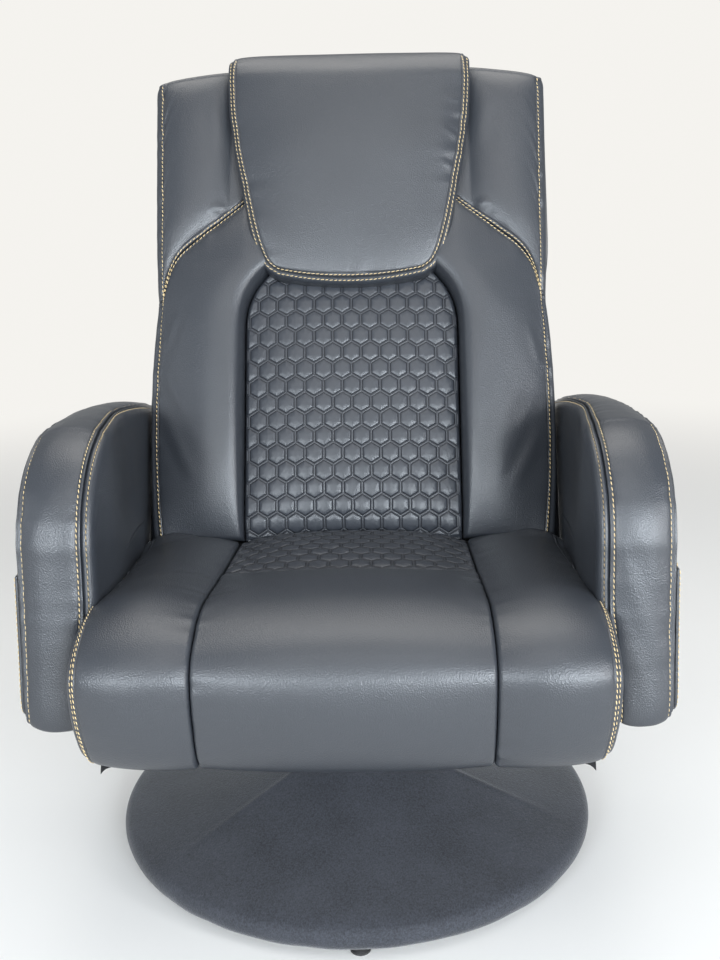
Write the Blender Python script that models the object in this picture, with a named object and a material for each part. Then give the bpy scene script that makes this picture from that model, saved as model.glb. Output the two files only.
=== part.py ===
"""Pedestal gaming chair: a fabric-covered round base, a swivel post, a sprung rock-back mechanism, and a
padded seat, back, headrest and armrests.

Metres. z is up from the floor, x runs to the right of someone who faces the chair, and y runs from the
chair's front to its rear. Meshes are drawn with the post's axis at x = y = 0. At the end the whole chair
moves along y, so that the origin lies under the middle of its outline.
"""

import math

import bmesh
import bpy
from mathutils import Vector

for old in list(bpy.data.objects):
    bpy.data.objects.remove(old)

# Driving dimensions
GAP = 0.0003  # clearance between pieces that touch
OVERRUN = 0.010  # how far a cutter runs past what it cuts

BASE_RADIUS = 0.2955  # centre line of the base ring
RING_TUBE_R = 0.0125
FOOT_HEIGHT = 0.0145  # floor to the underside of the ring
LEG_COUNT = 3
LEG_TURN = math.radians(-50)  # from the chair's front to the first spoke
FOOT_COUNT = 6
FOOT_TURN = math.radians(2)  # from the chair's front to the first foot
LEG_HUB_Z = 0.106  # height of the spokes where they meet the central socket
POST_R = 0.024
POST_TOP = 0.188
SPINDLE_R = 0.0132

SEAT_UNDERSIDE = 0.250  # floor to the underside of the seat board and the arms
BODY_HALF_WIDTH = 0.288  # widest part of the seat and back, between the arms
SEAT_SEAM_X = 0.155  # seam between the seat's centre and its sides
SEAT_EDGE_INSET = 0.013
SEAT_EDGE_X = BODY_HALF_WIDTH - SEAT_EDGE_INSET  # stitched outer edge of the seat's top
SEAT_REAR_TOP = 0.362  # height of the seat's top where it meets the back
SEAT_CREST_Y = -0.235
SEAT_CREST_Z = 0.396
SEAT_NOSE_Y = -0.338
SEAT_NOSE_Z = 0.343
SEAT_LIP_Y = -0.300  # lower end of the seat's rounded front
SEAT_LIP_Z = 0.244
SEAT_LIP_SAG = 0.010  # how much lower the seat's centre hangs there
SEAT_QUILT_Y = -0.075  # front seam of the quilted strip
BOARD_THICK = 0.012

BACK_FOOT_Y = 0.086  # point where the back's front plane meets the seat
BACK_FOOT_Z = 0.368
BACK_LEAN = math.radians(24)
BACK_HEIGHT = 0.690  # along the back, from its foot to the middle of its top edge
BACK_SHOULDER_DROP = 0.016  # how much lower the top edge is near its two corners
BACK_CORNER_R = 0.010  # rounding of those corners
BACK_SEAM_X = 0.150  # seam between the back's centre and its sides
BACK_PAD_DEPTH = 0.045  # from the front plane to the back board
BACK_DEPTH = 0.100  # from the front plane to the middle of the rear cover
BACK_FOOT_INSET = 0.026  # how far its stitched front edge stands in from its widest part
BACK_MID_INSET = 0.0125
BACK_TOP_INSET = 0.0045
BACK_EDGE_FOOT_X = BODY_HALF_WIDTH - BACK_FOOT_INSET
BACK_EDGE_MID_X = BODY_HALF_WIDTH - BACK_MID_INSET
BACK_EDGE_TOP_X = BODY_HALF_WIDTH - BACK_TOP_INSET
BOLSTER_TOP = 0.486  # along the back, at the inner end of the curved seam
BOLSTER_SHOULDER = 0.330  # along the back, at the outer end of the curved seam

PILLOW_FOOT = 0.361  # along the back
PILLOW_RISE = 0.012  # how far it stands above the back's top edge
PILLOW_TOP = BACK_HEIGHT + PILLOW_RISE
QUILT_LAP = 0.039  # how far the back's quilting runs up under it
QUILT_TOP = PILLOW_FOOT + QUILT_LAP
PILLOW_HALF_WIDTH = 0.168
PILLOW_EDGE = 0.020  # thickness of its side border
PILLOW_CROWN = 0.034

ARM_CLEARANCE = 0.0005
ARM_IN_X = BODY_HALF_WIDTH + ARM_CLEARANCE
ARM_WIDTH = 0.067
ARM_FOOT_Y = -0.262
ARM_FRONT_Y = -0.238  # where the front edge starts to round over
ARM_FRONT_Z = 0.438
ARM_TOP_Y = -0.100  # where the top edge starts
ARM_TOP_Z = 0.567
ARM_REAR_Z = 0.528

PIN_Y = -0.030  # axis of the rock-back motion
PIN_Z = 0.222
PIN_R = 0.006
ROCK_RANGE = math.radians(10)  # how far the seat rocks back before it meets the rear buffer

HEX_PITCH = 0.0261  # width of a quilted cell


def material(name, color, roughness, metallic=0.0):
    made = bpy.data.materials.new(name)
    made.use_nodes = True
    shader = made.node_tree.nodes["Principled BSDF"]
    shader.inputs["Base Color"].default_value = (*color, 1)
    shader.inputs["Roughness"].default_value = roughness
    shader.inputs["Metallic"].default_value = metallic
    made.diffuse_color = (*color, 1)
    return made


LEATHER = material("black_leather", (0.021, 0.023, 0.028), 0.42)
COVER_FABRIC = material("black_stretch_fabric", (0.012, 0.012, 0.014), 0.85)
DUST_CLOTH = material("black_dust_cloth", (0.010, 0.010, 0.010), 0.95)
BLACK_STEEL = material("black_painted_steel", (0.020, 0.020, 0.022), 0.45, 0.3)
ZINC_STEEL = material("zinc_plated_steel", (0.55, 0.56, 0.58), 0.35, 1.0)
PLYWOOD = material("plywood", (0.42, 0.29, 0.17), 0.75)
BLACK_PLASTIC = material("black_plastic", (0.015, 0.015, 0.016), 0.5)
NYLON = material("white_nylon", (0.75, 0.74, 0.70), 0.45)
RUBBER = material("black_rubber", (0.018, 0.018, 0.018), 0.8)


def empty(name, parent=None, location=(0, 0, 0), lean=0.0):
    made = bpy.data.objects.new(name, None)
    bpy.context.collection.objects.link(made)
    made.parent = parent
    made.location = location
    made.rotation_euler = (lean, 0, 0)
    return made


chair = empty("chair")
swivel_axis = empty("swivel_axis", chair, (0, 0, POST_TOP))
tilt_axis = empty("tilt_axis", swivel_axis, (0, PIN_Y, PIN_Z - POST_TOP))
back_axis = empty(
    "back_axis",
    tilt_axis,
    (0, BACK_FOOT_Y - PIN_Y, BACK_FOOT_Z - PIN_Z),
    -BACK_LEAN,
)
bpy.context.view_layer.update()


def add(name, mesh, finish, parent, in_own_frame=False):
    """An object of this mesh. Its points are in the chair's frame, or in its parent's own frame."""
    made = bpy.data.objects.new(name, mesh)
    bpy.context.collection.objects.link(made)
    mesh.materials.append(finish)
    made.parent = parent
    if not in_own_frame:
        made.location = parent.matrix_world.inverted() @ Vector((0, 0, 0))
    return made


def mesh_of(name, points, faces, smooth_angle=40):
    """A mesh with its faces turned outwards, shaded smooth below this angle in degrees."""
    mesh = bpy.data.meshes.new(name)
    work = bmesh.new()
    verts = [work.verts.new(p) for p in points]
    for face in faces:
        work.faces.new([verts[i] for i in face])
    bmesh.ops.recalc_face_normals(work, faces=work.faces)
    work.to_mesh(mesh)
    work.free()
    mesh.shade_smooth()
    mesh.set_sharp_from_angle(angle=math.radians(smooth_angle))
    return mesh


def mix(low, high, share):
    return low + (high - low) * share


def grid_faces(rows, columns, first=0):
    return [
        (
            first + r * columns + c,
            first + r * columns + c + 1,
            first + (r + 1) * columns + c + 1,
            first + (r + 1) * columns + c,
        )
        for r in range(rows - 1)
        for c in range(columns - 1)
    ]


def between_mesh(name, outer, inner):
    """A closed body between two grids of points, whose edges are joined by walls."""
    rows, columns = len(outer), len(outer[0])
    points = [p for row in outer for p in row] + [p for row in inner for p in row]
    shift = rows * columns
    faces = grid_faces(rows, columns) + grid_faces(rows, columns, shift)
    rim = list(range(columns))
    rim += [r * columns + columns - 1 for r in range(1, rows)]
    rim += [(rows - 1) * columns + c for c in reversed(range(columns - 1))]
    rim += [r * columns for r in reversed(range(1, rows - 1))]
    for a, b in zip(rim, rim[1:] + rim[:1]):
        faces.append((a, b, b + shift))
        faces.append((a, b + shift, a + shift))
    return mesh_of(name, points, faces)


def lofted_mesh(name, rings):
    """A closed body through rings of points, with flat caps."""
    count = len(rings[0])
    points = [p for ring in rings for p in ring]
    faces = []
    for r in range(len(rings) - 1):
        for c in range(count):
            d = (c + 1) % count
            faces.append((r * count + c, r * count + d, (r + 1) * count + d, (r + 1) * count + c))
    faces.append(tuple(range(count)))
    faces.append(tuple(range((len(rings) - 1) * count, len(rings) * count)))
    return mesh_of(name, points, faces)


def turned_mesh(name, profile, sides, bored=False, along="Z", centre=(0, 0, 0)):
    """A turned body: profile gives (radius, height), and a bored one is turned from a closed profile."""
    x, y, z = centre
    rings = []
    for radius, height in profile:
        ring = []
        for k in range(sides):
            angle = 2 * math.pi * k / sides
            a, b = radius * math.cos(angle), radius * math.sin(angle)
            ring.append((x + a, y + b, z + height) if along == "Z" else (x + height, y + a, z + b))
        rings.append(ring)
    if not bored:
        return lofted_mesh(name, rings)
    points = [p for ring in rings for p in ring]
    faces = []
    for r in range(len(rings)):
        s = (r + 1) % len(rings)
        for c in range(sides):
            d = (c + 1) % sides
            faces.append((r * sides + c, r * sides + d, s * sides + d, s * sides + c))
    return mesh_of(name, points, faces)


def box_mesh(name, x, y, z):
    rings = [[(a, y[0], z[0]), (a, y[1], z[0]), (a, y[1], z[1]), (a, y[0], z[1])] for a in x]
    return lofted_mesh(name, rings)


def slab_mesh(name, outline, x):
    """An outline of (y, z) points, extruded along x."""
    return lofted_mesh(name, [[(a, y, z) for y, z in outline] for a in x])


def combine(body, cutter_mesh, parent, operation="DIFFERENCE", in_own_frame=False):
    """Cuts this mesh from the body, or joins it on."""
    tool = add(cutter_mesh.name, cutter_mesh, BLACK_STEEL, parent, in_own_frame)
    tool.hide_render = True
    tool.display_type = "WIRE"
    step = body.modifiers.new(cutter_mesh.name, "BOOLEAN")
    step.operation = operation
    step.solver = "EXACT"
    step.object = tool


def drill(body, name, places, radius, z, parent):
    """Round vertical holes through the body."""
    for number, (x, y) in enumerate(places, 1):
        profile = [(radius, z[0] - OVERRUN), (radius, z[1] + OVERRUN)]
        mesh = turned_mesh(f"{name}_{number}", profile, BOLT_SIDES, centre=(x, y, 0))
        combine(body, mesh, parent)


# Round base: a tube ring on spokes from a central socket, under a stretch-fabric cover
RIM_SIDES = 42  # the ring and its cover have the same corners, so that they stay apart
RING_Z = FOOT_HEIGHT + RING_TUBE_R
TUBE_SIDES = 10
LEG_TUBE_R = 0.010
HUB_R = 0.034
HUB_SKIRT = 0.014  # how far the socket reaches below the middle of the spokes
HUB_BOTTOM = LEG_HUB_Z - HUB_SKIRT
HUB_LIP = 0.006  # ledge that the post stands on
HUB_LIP_R = 0.015
ROUND_SIDES = 24
SMALL_SIDES = 16
BOLT_SIDES = 12
POST_WALL = 0.003
COVER_THICK = 0.0015
COVER_SLACK = 0.0006  # how far the cover stays above the spokes
COVER_SAG = 0.008  # how far it dips between two spokes
COVER_COLLAR = 0.010  # height of the gathered collar round the post
FOOT_R = 0.012
FOOT_INSET = 0.010  # how far the feet stand inside the ring's centre line
FOOT_CLEARANCE = 0.0035  # round the foot, in the cover's hem


def cover_height(radius):
    """Inner surface of the cover along a spoke."""
    slope = (LEG_HUB_Z - RING_Z) / (BASE_RADIUS - HUB_R + LEG_TUBE_R)
    rise = LEG_TUBE_R * math.hypot(1, slope) + COVER_SLACK
    return RING_Z + (BASE_RADIUS - radius) * slope + rise


HUB_TOP = cover_height(HUB_R + COVER_SLACK) - COVER_SLACK


def rim_point(angle, radius, z):
    return (radius * math.cos(angle), radius * math.sin(angle), z)


def leg_angle(number):
    return -math.pi / 2 + LEG_TURN + 2 * math.pi * number / LEG_COUNT


def foot_place(number):
    angle = -math.pi / 2 + FOOT_TURN + 2 * math.pi * number / FOOT_COUNT
    return rim_point(angle, BASE_RADIUS - FOOT_INSET, 0)


def ring_mesh(name, tube_radius):
    """The base ring, with corners where the legs are."""
    rings = []
    for k in range(RIM_SIDES):
        angle = leg_angle(0) + 2 * math.pi * k / RIM_SIDES
        ring = []
        for t in range(TUBE_SIDES):
            turn = 2 * math.pi * t / TUBE_SIDES
            radius = BASE_RADIUS + tube_radius * math.cos(turn)
            ring.append(rim_point(angle, radius, RING_Z + tube_radius * math.sin(turn)))
        rings.append(ring)
    points = [p for ring in rings for p in ring]
    faces = []
    for r in range(RIM_SIDES):
        s = (r + 1) % RIM_SIDES
        for c in range(TUBE_SIDES):
            d = (c + 1) % TUBE_SIDES
            faces.append(
                (r * TUBE_SIDES + c, r * TUBE_SIDES + d, s * TUBE_SIDES + d, s * TUBE_SIDES + c)
            )
    return mesh_of(name, points, faces)


def make_ring():
    return add("base_ring", ring_mesh("base_ring", RING_TUBE_R), BLACK_STEEL, chair)


def make_leg(number):
    """A spoke from the socket to the ring, its ends coped to both."""
    angle = leg_angle(number)
    out = Vector((math.cos(angle), math.sin(angle), 0))
    side = Vector((-math.sin(angle), math.cos(angle), 0))
    near = out * (HUB_R - LEG_TUBE_R) + Vector((0, 0, LEG_HUB_Z))
    far = out * BASE_RADIUS + Vector((0, 0, RING_Z))
    near += (near - far) * (LEG_TUBE_R / (far - near).length)
    normal = (far - near).cross(side).normalized()
    rings = []
    for end in (near, far):
        turns = [2 * math.pi * t / TUBE_SIDES for t in range(TUBE_SIDES)]
        rings.append([end + LEG_TUBE_R * (side * math.cos(a) + normal * math.sin(a)) for a in turns])
    name = f"base_leg_{number + 1}"
    leg = add(name, lofted_mesh(name, rings), BLACK_STEEL, chair)
    combine(leg, ring_mesh(f"{name}_ring_cut", RING_TUBE_R + GAP), chair)
    hub_cut = [(HUB_R + GAP, HUB_BOTTOM - OVERRUN), (HUB_R + GAP, HUB_TOP + OVERRUN)]
    combine(leg, turned_mesh(f"{name}_hub_cut", hub_cut, ROUND_SIDES), chair)


def make_foot(number):
    """A plastic glide, with a saddle that takes the ring."""
    tread = 0.004
    rounding = 0.001
    neck_r = FOOT_R - rounding
    x, y, _ = foot_place(number)
    profile = [(FOOT_R - rounding, 0), (FOOT_R, rounding), (FOOT_R, tread), (neck_r, tread + rounding)]
    profile.append((neck_r, FOOT_HEIGHT + RING_TUBE_R / 2))
    name = f"base_foot_{number + 1}"
    foot = add(name, turned_mesh(name, profile, SMALL_SIDES, centre=(x, y, 0)), BLACK_PLASTIC, chair)
    combine(foot, ring_mesh(f"{name}_ring_cut", RING_TUBE_R + GAP), chair)


def make_hub():
    bore = POST_R + GAP
    profile = [
        (HUB_LIP_R, HUB_BOTTOM),
        (HUB_R, HUB_BOTTOM),
        (HUB_R, HUB_TOP),
        (bore, HUB_TOP),
        (bore, HUB_BOTTOM + HUB_LIP),
        (HUB_LIP_R, HUB_BOTTOM + HUB_LIP),
    ]
    add("base_hub", turned_mesh("base_hub", profile, ROUND_SIDES, bored=True), BLACK_STEEL, chair)


def make_cover():
    """Stretch fabric, drawn in round the post, carried by the spokes and pulled down over the ring."""
    collar_r = POST_R + GAP
    shoulder_r = HUB_R + COVER_SLACK
    rim_in_r = BASE_RADIUS - RING_TUBE_R
    slope_shares = (0, 0.15, 0.38, 0.60, 0.82, 1)
    hem_turns = [math.radians(a) for a in (90, 54, 18, -18, -54, -90)]
    wrap = (RING_TUBE_R + GAP) / math.cos(math.pi / TUBE_SIDES)
    outer, inner = [], []
    for k in range(RIM_SIDES):
        angle = leg_angle(0) + 2 * math.pi * k / RIM_SIDES
        per_leg = RIM_SIDES // LEG_COUNT
        away = 1 - abs(2 * (k % per_leg) / per_leg - 1)
        dip = math.sin(away * math.pi / 2)
        shoulder_z = cover_height(shoulder_r)
        in_line = [(collar_r, shoulder_z + COVER_COLLAR), (collar_r + GAP, shoulder_z + COVER_THICK)]
        out_line = [(collar_r + COVER_THICK, shoulder_z + COVER_COLLAR)]
        out_line.append((collar_r + 2 * COVER_THICK, shoulder_z + 2 * COVER_THICK))
        for share in slope_shares:
            radius = mix(shoulder_r, rim_in_r, share)
            z = cover_height(radius) - COVER_SAG * dip * math.sin(math.pi * share**0.8)
            in_line.append((radius, z))
            out_line.append((radius, z + COVER_THICK))
        for turn in hem_turns:
            for line, reach in ((in_line, wrap), (out_line, wrap + COVER_THICK)):
                line.append((BASE_RADIUS + reach * math.cos(turn), RING_Z + reach * math.sin(turn)))
        inner.append([rim_point(angle, r, z) for r, z in in_line])
        outer.append([rim_point(angle, r, z) for r, z in out_line])
    rings = [a + b[::-1] for a, b in zip(outer, inner)]
    count = len(rings[0])
    points = [p for ring in rings for p in ring]
    faces = []
    for r in range(RIM_SIDES):
        s = (r + 1) % RIM_SIDES
        for c in range(count):
            d = (c + 1) % count
            faces.append((r * count + c, r * count + d, s * count + d, s * count + c))
    cover = add("base_cover", mesh_of("base_cover", points, faces), COVER_FABRIC, chair)
    foot_hole_r = FOOT_R + FOOT_CLEARANCE
    for number in range(FOOT_COUNT):
        x, y, _ = foot_place(number)
        profile = [(foot_hole_r, FOOT_HEIGHT - OVERRUN), (foot_hole_r, RING_Z - RING_TUBE_R / 2)]
        name = f"base_cover_foot_hole_{number + 1}"
        combine(cover, turned_mesh(name, profile, BOLT_SIDES, centre=(x, y, 0)), chair)


def make_post():
    bottom = HUB_BOTTOM + HUB_LIP + GAP
    bore = POST_R - POST_WALL
    profile = [(bore, bottom), (POST_R, bottom), (POST_R, POST_TOP), (bore, POST_TOP)]
    add("post", turned_mesh("post", profile, ROUND_SIDES, bored=True), BLACK_STEEL, chair)


BUSH_LENGTH = 0.015
BUSH_FLANGE = 0.003
WASHER_THICK = 0.0015
WASHER_Z = POST_TOP + GAP + BUSH_FLANGE + GAP


def make_bushes():
    """Nylon bushes in both ends of the post, and the washer that the swivel plate turns on."""
    inside = SPINDLE_R + GAP
    outside = POST_R - POST_WALL - GAP
    foot = HUB_BOTTOM + HUB_LIP + GAP
    lower = [(inside, foot), (outside, foot), (outside, foot + BUSH_LENGTH), (inside, foot + BUSH_LENGTH)]
    mesh = turned_mesh("post_bush_lower", lower, ROUND_SIDES, bored=True)
    add("post_bush_lower", mesh, NYLON, chair)
    seat_z = POST_TOP + GAP
    upper = [
        (inside, POST_TOP - BUSH_LENGTH),
        (outside, POST_TOP - BUSH_LENGTH),
        (outside, seat_z),
        (POST_R, seat_z),
        (POST_R, seat_z + BUSH_FLANGE),
        (inside, seat_z + BUSH_FLANGE),
    ]
    mesh = turned_mesh("post_bush_upper", upper, ROUND_SIDES, bored=True)
    add("post_bush_upper", mesh, NYLON, chair)
    top = WASHER_Z + WASHER_THICK
    washer = [(inside, WASHER_Z), (POST_R, WASHER_Z), (POST_R, top), (inside, top)]
    add("thrust_washer", turned_mesh("thrust_washer", washer, ROUND_SIDES, bored=True), ZINC_STEEL, chair)


# Swivel and rock-back mechanism
SWIVEL_PLATE_THICK = 0.005
SWIVEL_PLATE_Z = WASHER_Z + WASHER_THICK + GAP
SWIVEL_PLATE_TOP = SWIVEL_PLATE_Z + SWIVEL_PLATE_THICK
SWIVEL_PLATE_HALF_X = 0.080
SWIVEL_PLATE_FRONT = -0.096
SWIVEL_PLATE_REAR = 0.074
EAR_THICK = 0.004
EAR_R = 0.016
EAR_FOOT_HALF = 0.022
EAR_IN_X = 0.040  # inner face of the lower ears
STEEL_THICK = 0.004
FIX_Z = SEAT_UNDERSIDE - GAP  # top face of the plates and brackets under the seat
SEAT_PLATE_Z = FIX_Z - STEEL_THICK
SEAT_PLATE_HALF_X = 0.100
SEAT_PLATE_FRONT = -0.105
SEAT_PLATE_REAR = 0.085


def ear_outline(root_z):
    """An ear that ends in a round about the tilt pin, from its root at this height."""
    up = 1 if root_z < PIN_Z else -1
    outline = [(PIN_Y - EAR_FOOT_HALF, root_z)]
    for step in range(9):
        angle = math.pi * step / 8
        outline.append((PIN_Y - EAR_R * math.cos(angle), PIN_Z + up * EAR_R * math.sin(angle)))
    outline.append((PIN_Y + EAR_FOOT_HALF, root_z))
    return outline


def ears(plate, name, near_x, root_z, parent):
    """Two ears on the plate, drilled for the tilt pin."""
    for side, word in ((-1, "left"), (1, "right")):
        x = sorted((side * near_x, side * (near_x + EAR_THICK)))
        combine(plate, slab_mesh(f"{name}_ear_{word}", ear_outline(root_z), x), parent, "UNION")
    reach = near_x + EAR_THICK + OVERRUN
    hole = [(PIN_R + GAP, -reach), (PIN_R + GAP, reach)]
    mesh = turned_mesh(f"{name}_pin_hole", hole, SMALL_SIDES, along="X", centre=(0, PIN_Y, PIN_Z))
    combine(plate, mesh, parent)


def make_swivel():
    bottom = HUB_BOTTOM + 2 * HUB_LIP
    profile = [(SPINDLE_R, bottom), (SPINDLE_R, SWIVEL_PLATE_Z - GAP)]
    spindle = turned_mesh("swivel_spindle", profile, ROUND_SIDES)
    add("swivel_spindle", spindle, ZINC_STEEL, swivel_axis)
    x = (-SWIVEL_PLATE_HALF_X, SWIVEL_PLATE_HALF_X)
    y = (SWIVEL_PLATE_FRONT, SWIVEL_PLATE_REAR)
    mesh = box_mesh("swivel_plate", x, y, (SWIVEL_PLATE_Z, SWIVEL_PLATE_TOP))
    plate = add("swivel_plate", mesh, BLACK_STEEL, swivel_axis)
    ears(plate, "swivel_plate", EAR_IN_X, SWIVEL_PLATE_TOP - SWIVEL_PLATE_THICK / 4, swivel_axis)


def make_tilt_pin():
    head_r = 0.009
    head = 0.004
    face = EAR_IN_X + 2 * EAR_THICK + 2 * GAP
    profile = [
        (head_r, -face - head),
        (head_r, -face),
        (PIN_R, -face),
        (PIN_R, face),
        (head_r, face),
        (head_r, face + head),
    ]
    mesh = turned_mesh("tilt_pin", profile, SMALL_SIDES, along="X", centre=(0, PIN_Y, PIN_Z))
    add("tilt_pin", mesh, ZINC_STEEL, swivel_axis)


def make_torsion_bush():
    """Rubber sleeve bonded round the pin, which springs the seat forward."""
    outside = 0.0145
    reach = EAR_IN_X - GAP
    profile = [(PIN_R + GAP, -reach), (outside, -reach), (outside, reach), (PIN_R + GAP, reach)]
    centre = (0, PIN_Y, PIN_Z)
    mesh = turned_mesh("torsion_bush", profile, SMALL_SIDES, bored=True, along="X", centre=centre)
    add("torsion_bush", mesh, RUBBER, swivel_axis)


def make_stops():
    """Rubber blocks on the swivel plate: one that the seat rests on, one that ends the rock-back."""
    half_x = 0.028
    depth = 0.014
    inset = 0.004
    foot = SWIVEL_PLATE_TOP + GAP
    front = SWIVEL_PLATE_FRONT + inset
    mesh = box_mesh("front_stop", (-half_x, half_x), (front, front + depth), (foot, SEAT_PLATE_Z - GAP))
    add("front_stop", mesh, RUBBER, swivel_axis)
    rear = SWIVEL_PLATE_REAR - inset
    lift = (SEAT_PLATE_Z - PIN_Z) / math.cos(ROCK_RANGE)
    top = PIN_Z + lift - (rear - PIN_Y) * math.tan(ROCK_RANGE) - 2 * GAP
    mesh = box_mesh("rear_buffer", (-half_x, half_x), (rear - depth, rear), (foot, top))
    add("rear_buffer", mesh, RUBBER, swivel_axis)


# Seat: a plywood board on a steel plate, with four pads and a dust cover
BOLT_R = 0.004
BOLT_HEAD_R = 0.0075
BOLT_HEAD = 0.005
DUST_THICK = 0.001
DUST_SIDE_INSET = 0.008
DUST_FRONT_INSET = 0.004
DUST_LOOSE = 0.045  # how much of each front corner has come loose
DUST_DROP = 0.016
SEAT_BOARD_Z = SEAT_UNDERSIDE + DUST_THICK + GAP
SEAT_BOARD_TOP = SEAT_BOARD_Z + BOARD_THICK
SEAT_BOARD_MARGIN = 0.026  # from the board's edge to the seat's widest part
SEAT_BOARD_HALF_X = BODY_HALF_WIDTH - SEAT_BOARD_MARGIN
SEAT_BOARD_FRONT = -0.262
SEAT_BOARD_REAR = 0.028
SEAT_BOLT_X = 0.080
SEAT_BOLT_YS = (-0.088, 0.066)
SEAT_BOLTS = [(side * SEAT_BOLT_X, y) for y in SEAT_BOLT_YS for side in (-1, 1)]
BRACKET_THICK = 0.003
BRACKET_Z = FIX_Z - BRACKET_THICK


def bolt(name, x, y, plate_z, reach, parent):
    """A round-headed bolt, driven up through a plate whose lower face is at this height."""
    face = plate_z - GAP
    profile = [
        (BOLT_HEAD_R - BOLT_HEAD / 3, face - BOLT_HEAD),
        (BOLT_HEAD_R, face - BOLT_HEAD / 2),
        (BOLT_HEAD_R, face),
        (BOLT_R, face),
        (BOLT_R, reach),
    ]
    add(name, turned_mesh(name, profile, BOLT_SIDES, centre=(x, y, 0)), ZINC_STEEL, parent)


def make_seat_plate():
    x = (-SEAT_PLATE_HALF_X, SEAT_PLATE_HALF_X)
    mesh = box_mesh("seat_plate", x, (SEAT_PLATE_FRONT, SEAT_PLATE_REAR), (SEAT_PLATE_Z, FIX_Z))
    plate = add("seat_plate", mesh, BLACK_STEEL, tilt_axis)
    near_x = EAR_IN_X + EAR_THICK + GAP
    ears(plate, "seat_plate", near_x, SEAT_PLATE_Z + STEEL_THICK / 4, tilt_axis)
    drill(plate, "seat_plate_hole", SEAT_BOLTS, BOLT_R + GAP, (SEAT_PLATE_Z, FIX_Z), tilt_axis)
    for number, (x, y) in enumerate(SEAT_BOLTS, 1):
        bolt(f"seat_bolt_{number}", x, y, SEAT_PLATE_Z, SEAT_BOARD_TOP - GAP, tilt_axis)


def under_seat_bolts():
    """Places of the bolts that hold the arm and back brackets to the seat board."""
    return [(side * x, y) for x, y in (ARM_BRACKET_SEAT_BOLT, BACK_BRACKET_BOLT) for side in (-1, 1)]


def make_seat_board():
    x = (-SEAT_BOARD_HALF_X, SEAT_BOARD_HALF_X)
    mesh = box_mesh("seat_board", x, (SEAT_BOARD_FRONT, SEAT_BOARD_REAR), (SEAT_BOARD_Z, SEAT_BOARD_TOP))
    board = add("seat_board", mesh, PLYWOOD, tilt_axis)
    places = [p for p in SEAT_BOLTS if p[1] < SEAT_BOARD_REAR] + under_seat_bolts()
    drill(board, "seat_board_hole", places, BOLT_R + GAP, (SEAT_BOARD_Z, SEAT_BOARD_TOP), tilt_axis)


def lean_y(depth, z):
    """y of the plane that lies this deep behind the back's front plane, at this height."""
    return BACK_FOOT_Y + (z - BACK_FOOT_Z) * math.tan(BACK_LEAN) + depth / math.cos(BACK_LEAN)


def lean_height(depth, z):
    """Distance along the back at which that plane reaches this height."""
    return (z - BACK_FOOT_Z + depth * math.sin(BACK_LEAN)) / math.cos(BACK_LEAN)


def make_dust_cover():
    """Black cloth stapled under the seat. Its two front corners are loose and hang a little."""
    half = SEAT_EDGE_X - DUST_SIDE_INSET
    front = SEAT_LIP_Y + DUST_FRONT_INSET
    fold_x, fold_y = half - DUST_LOOSE, front + DUST_LOOSE
    rear = SEAT_BOARD_REAR
    outline = [(-half, rear), (half, rear), (half, fold_y), (half, front)]
    outline += [(fold_x, front), (-fold_x, front), (-half, front), (-half, fold_y)]
    count = len(outline)
    loose = {(half, front), (-half, front)}
    points = []
    for level in (SEAT_UNDERSIDE, SEAT_UNDERSIDE + DUST_THICK):
        points += [(x, y, level - DUST_DROP if (x, y) in loose else level) for x, y in outline]
    faces = []
    for panel in ((0, 1, 2, 4, 5, 7), (2, 3, 4), (5, 6, 7)):
        faces += [panel, tuple(i + count for i in panel)]
    faces += [(i, (i + 1) % count, (i + 1) % count + count, i + count) for i in range(count)]
    cover = add("dust_cover", mesh_of("dust_cover", points, faces, 10), DUST_CLOTH, tilt_axis)
    places = [p for p in SEAT_BOLTS if p[1] < SEAT_BOARD_REAR] + under_seat_bolts()
    z = (SEAT_UNDERSIDE, SEAT_UNDERSIDE + DUST_THICK)
    drill(cover, "dust_cover_hole", places, BOLT_R + GAP, z, tilt_axis)


def arc(centre, size, start, end, steps):
    """Points on a quarter of an ellipse, from one angle in degrees to another."""
    turns = [math.radians(mix(start, end, s / steps)) for s in range(steps + 1)]
    return [(centre[0] + size[0] * math.cos(a), centre[1] + size[1] * math.sin(a)) for a in turns]


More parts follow.
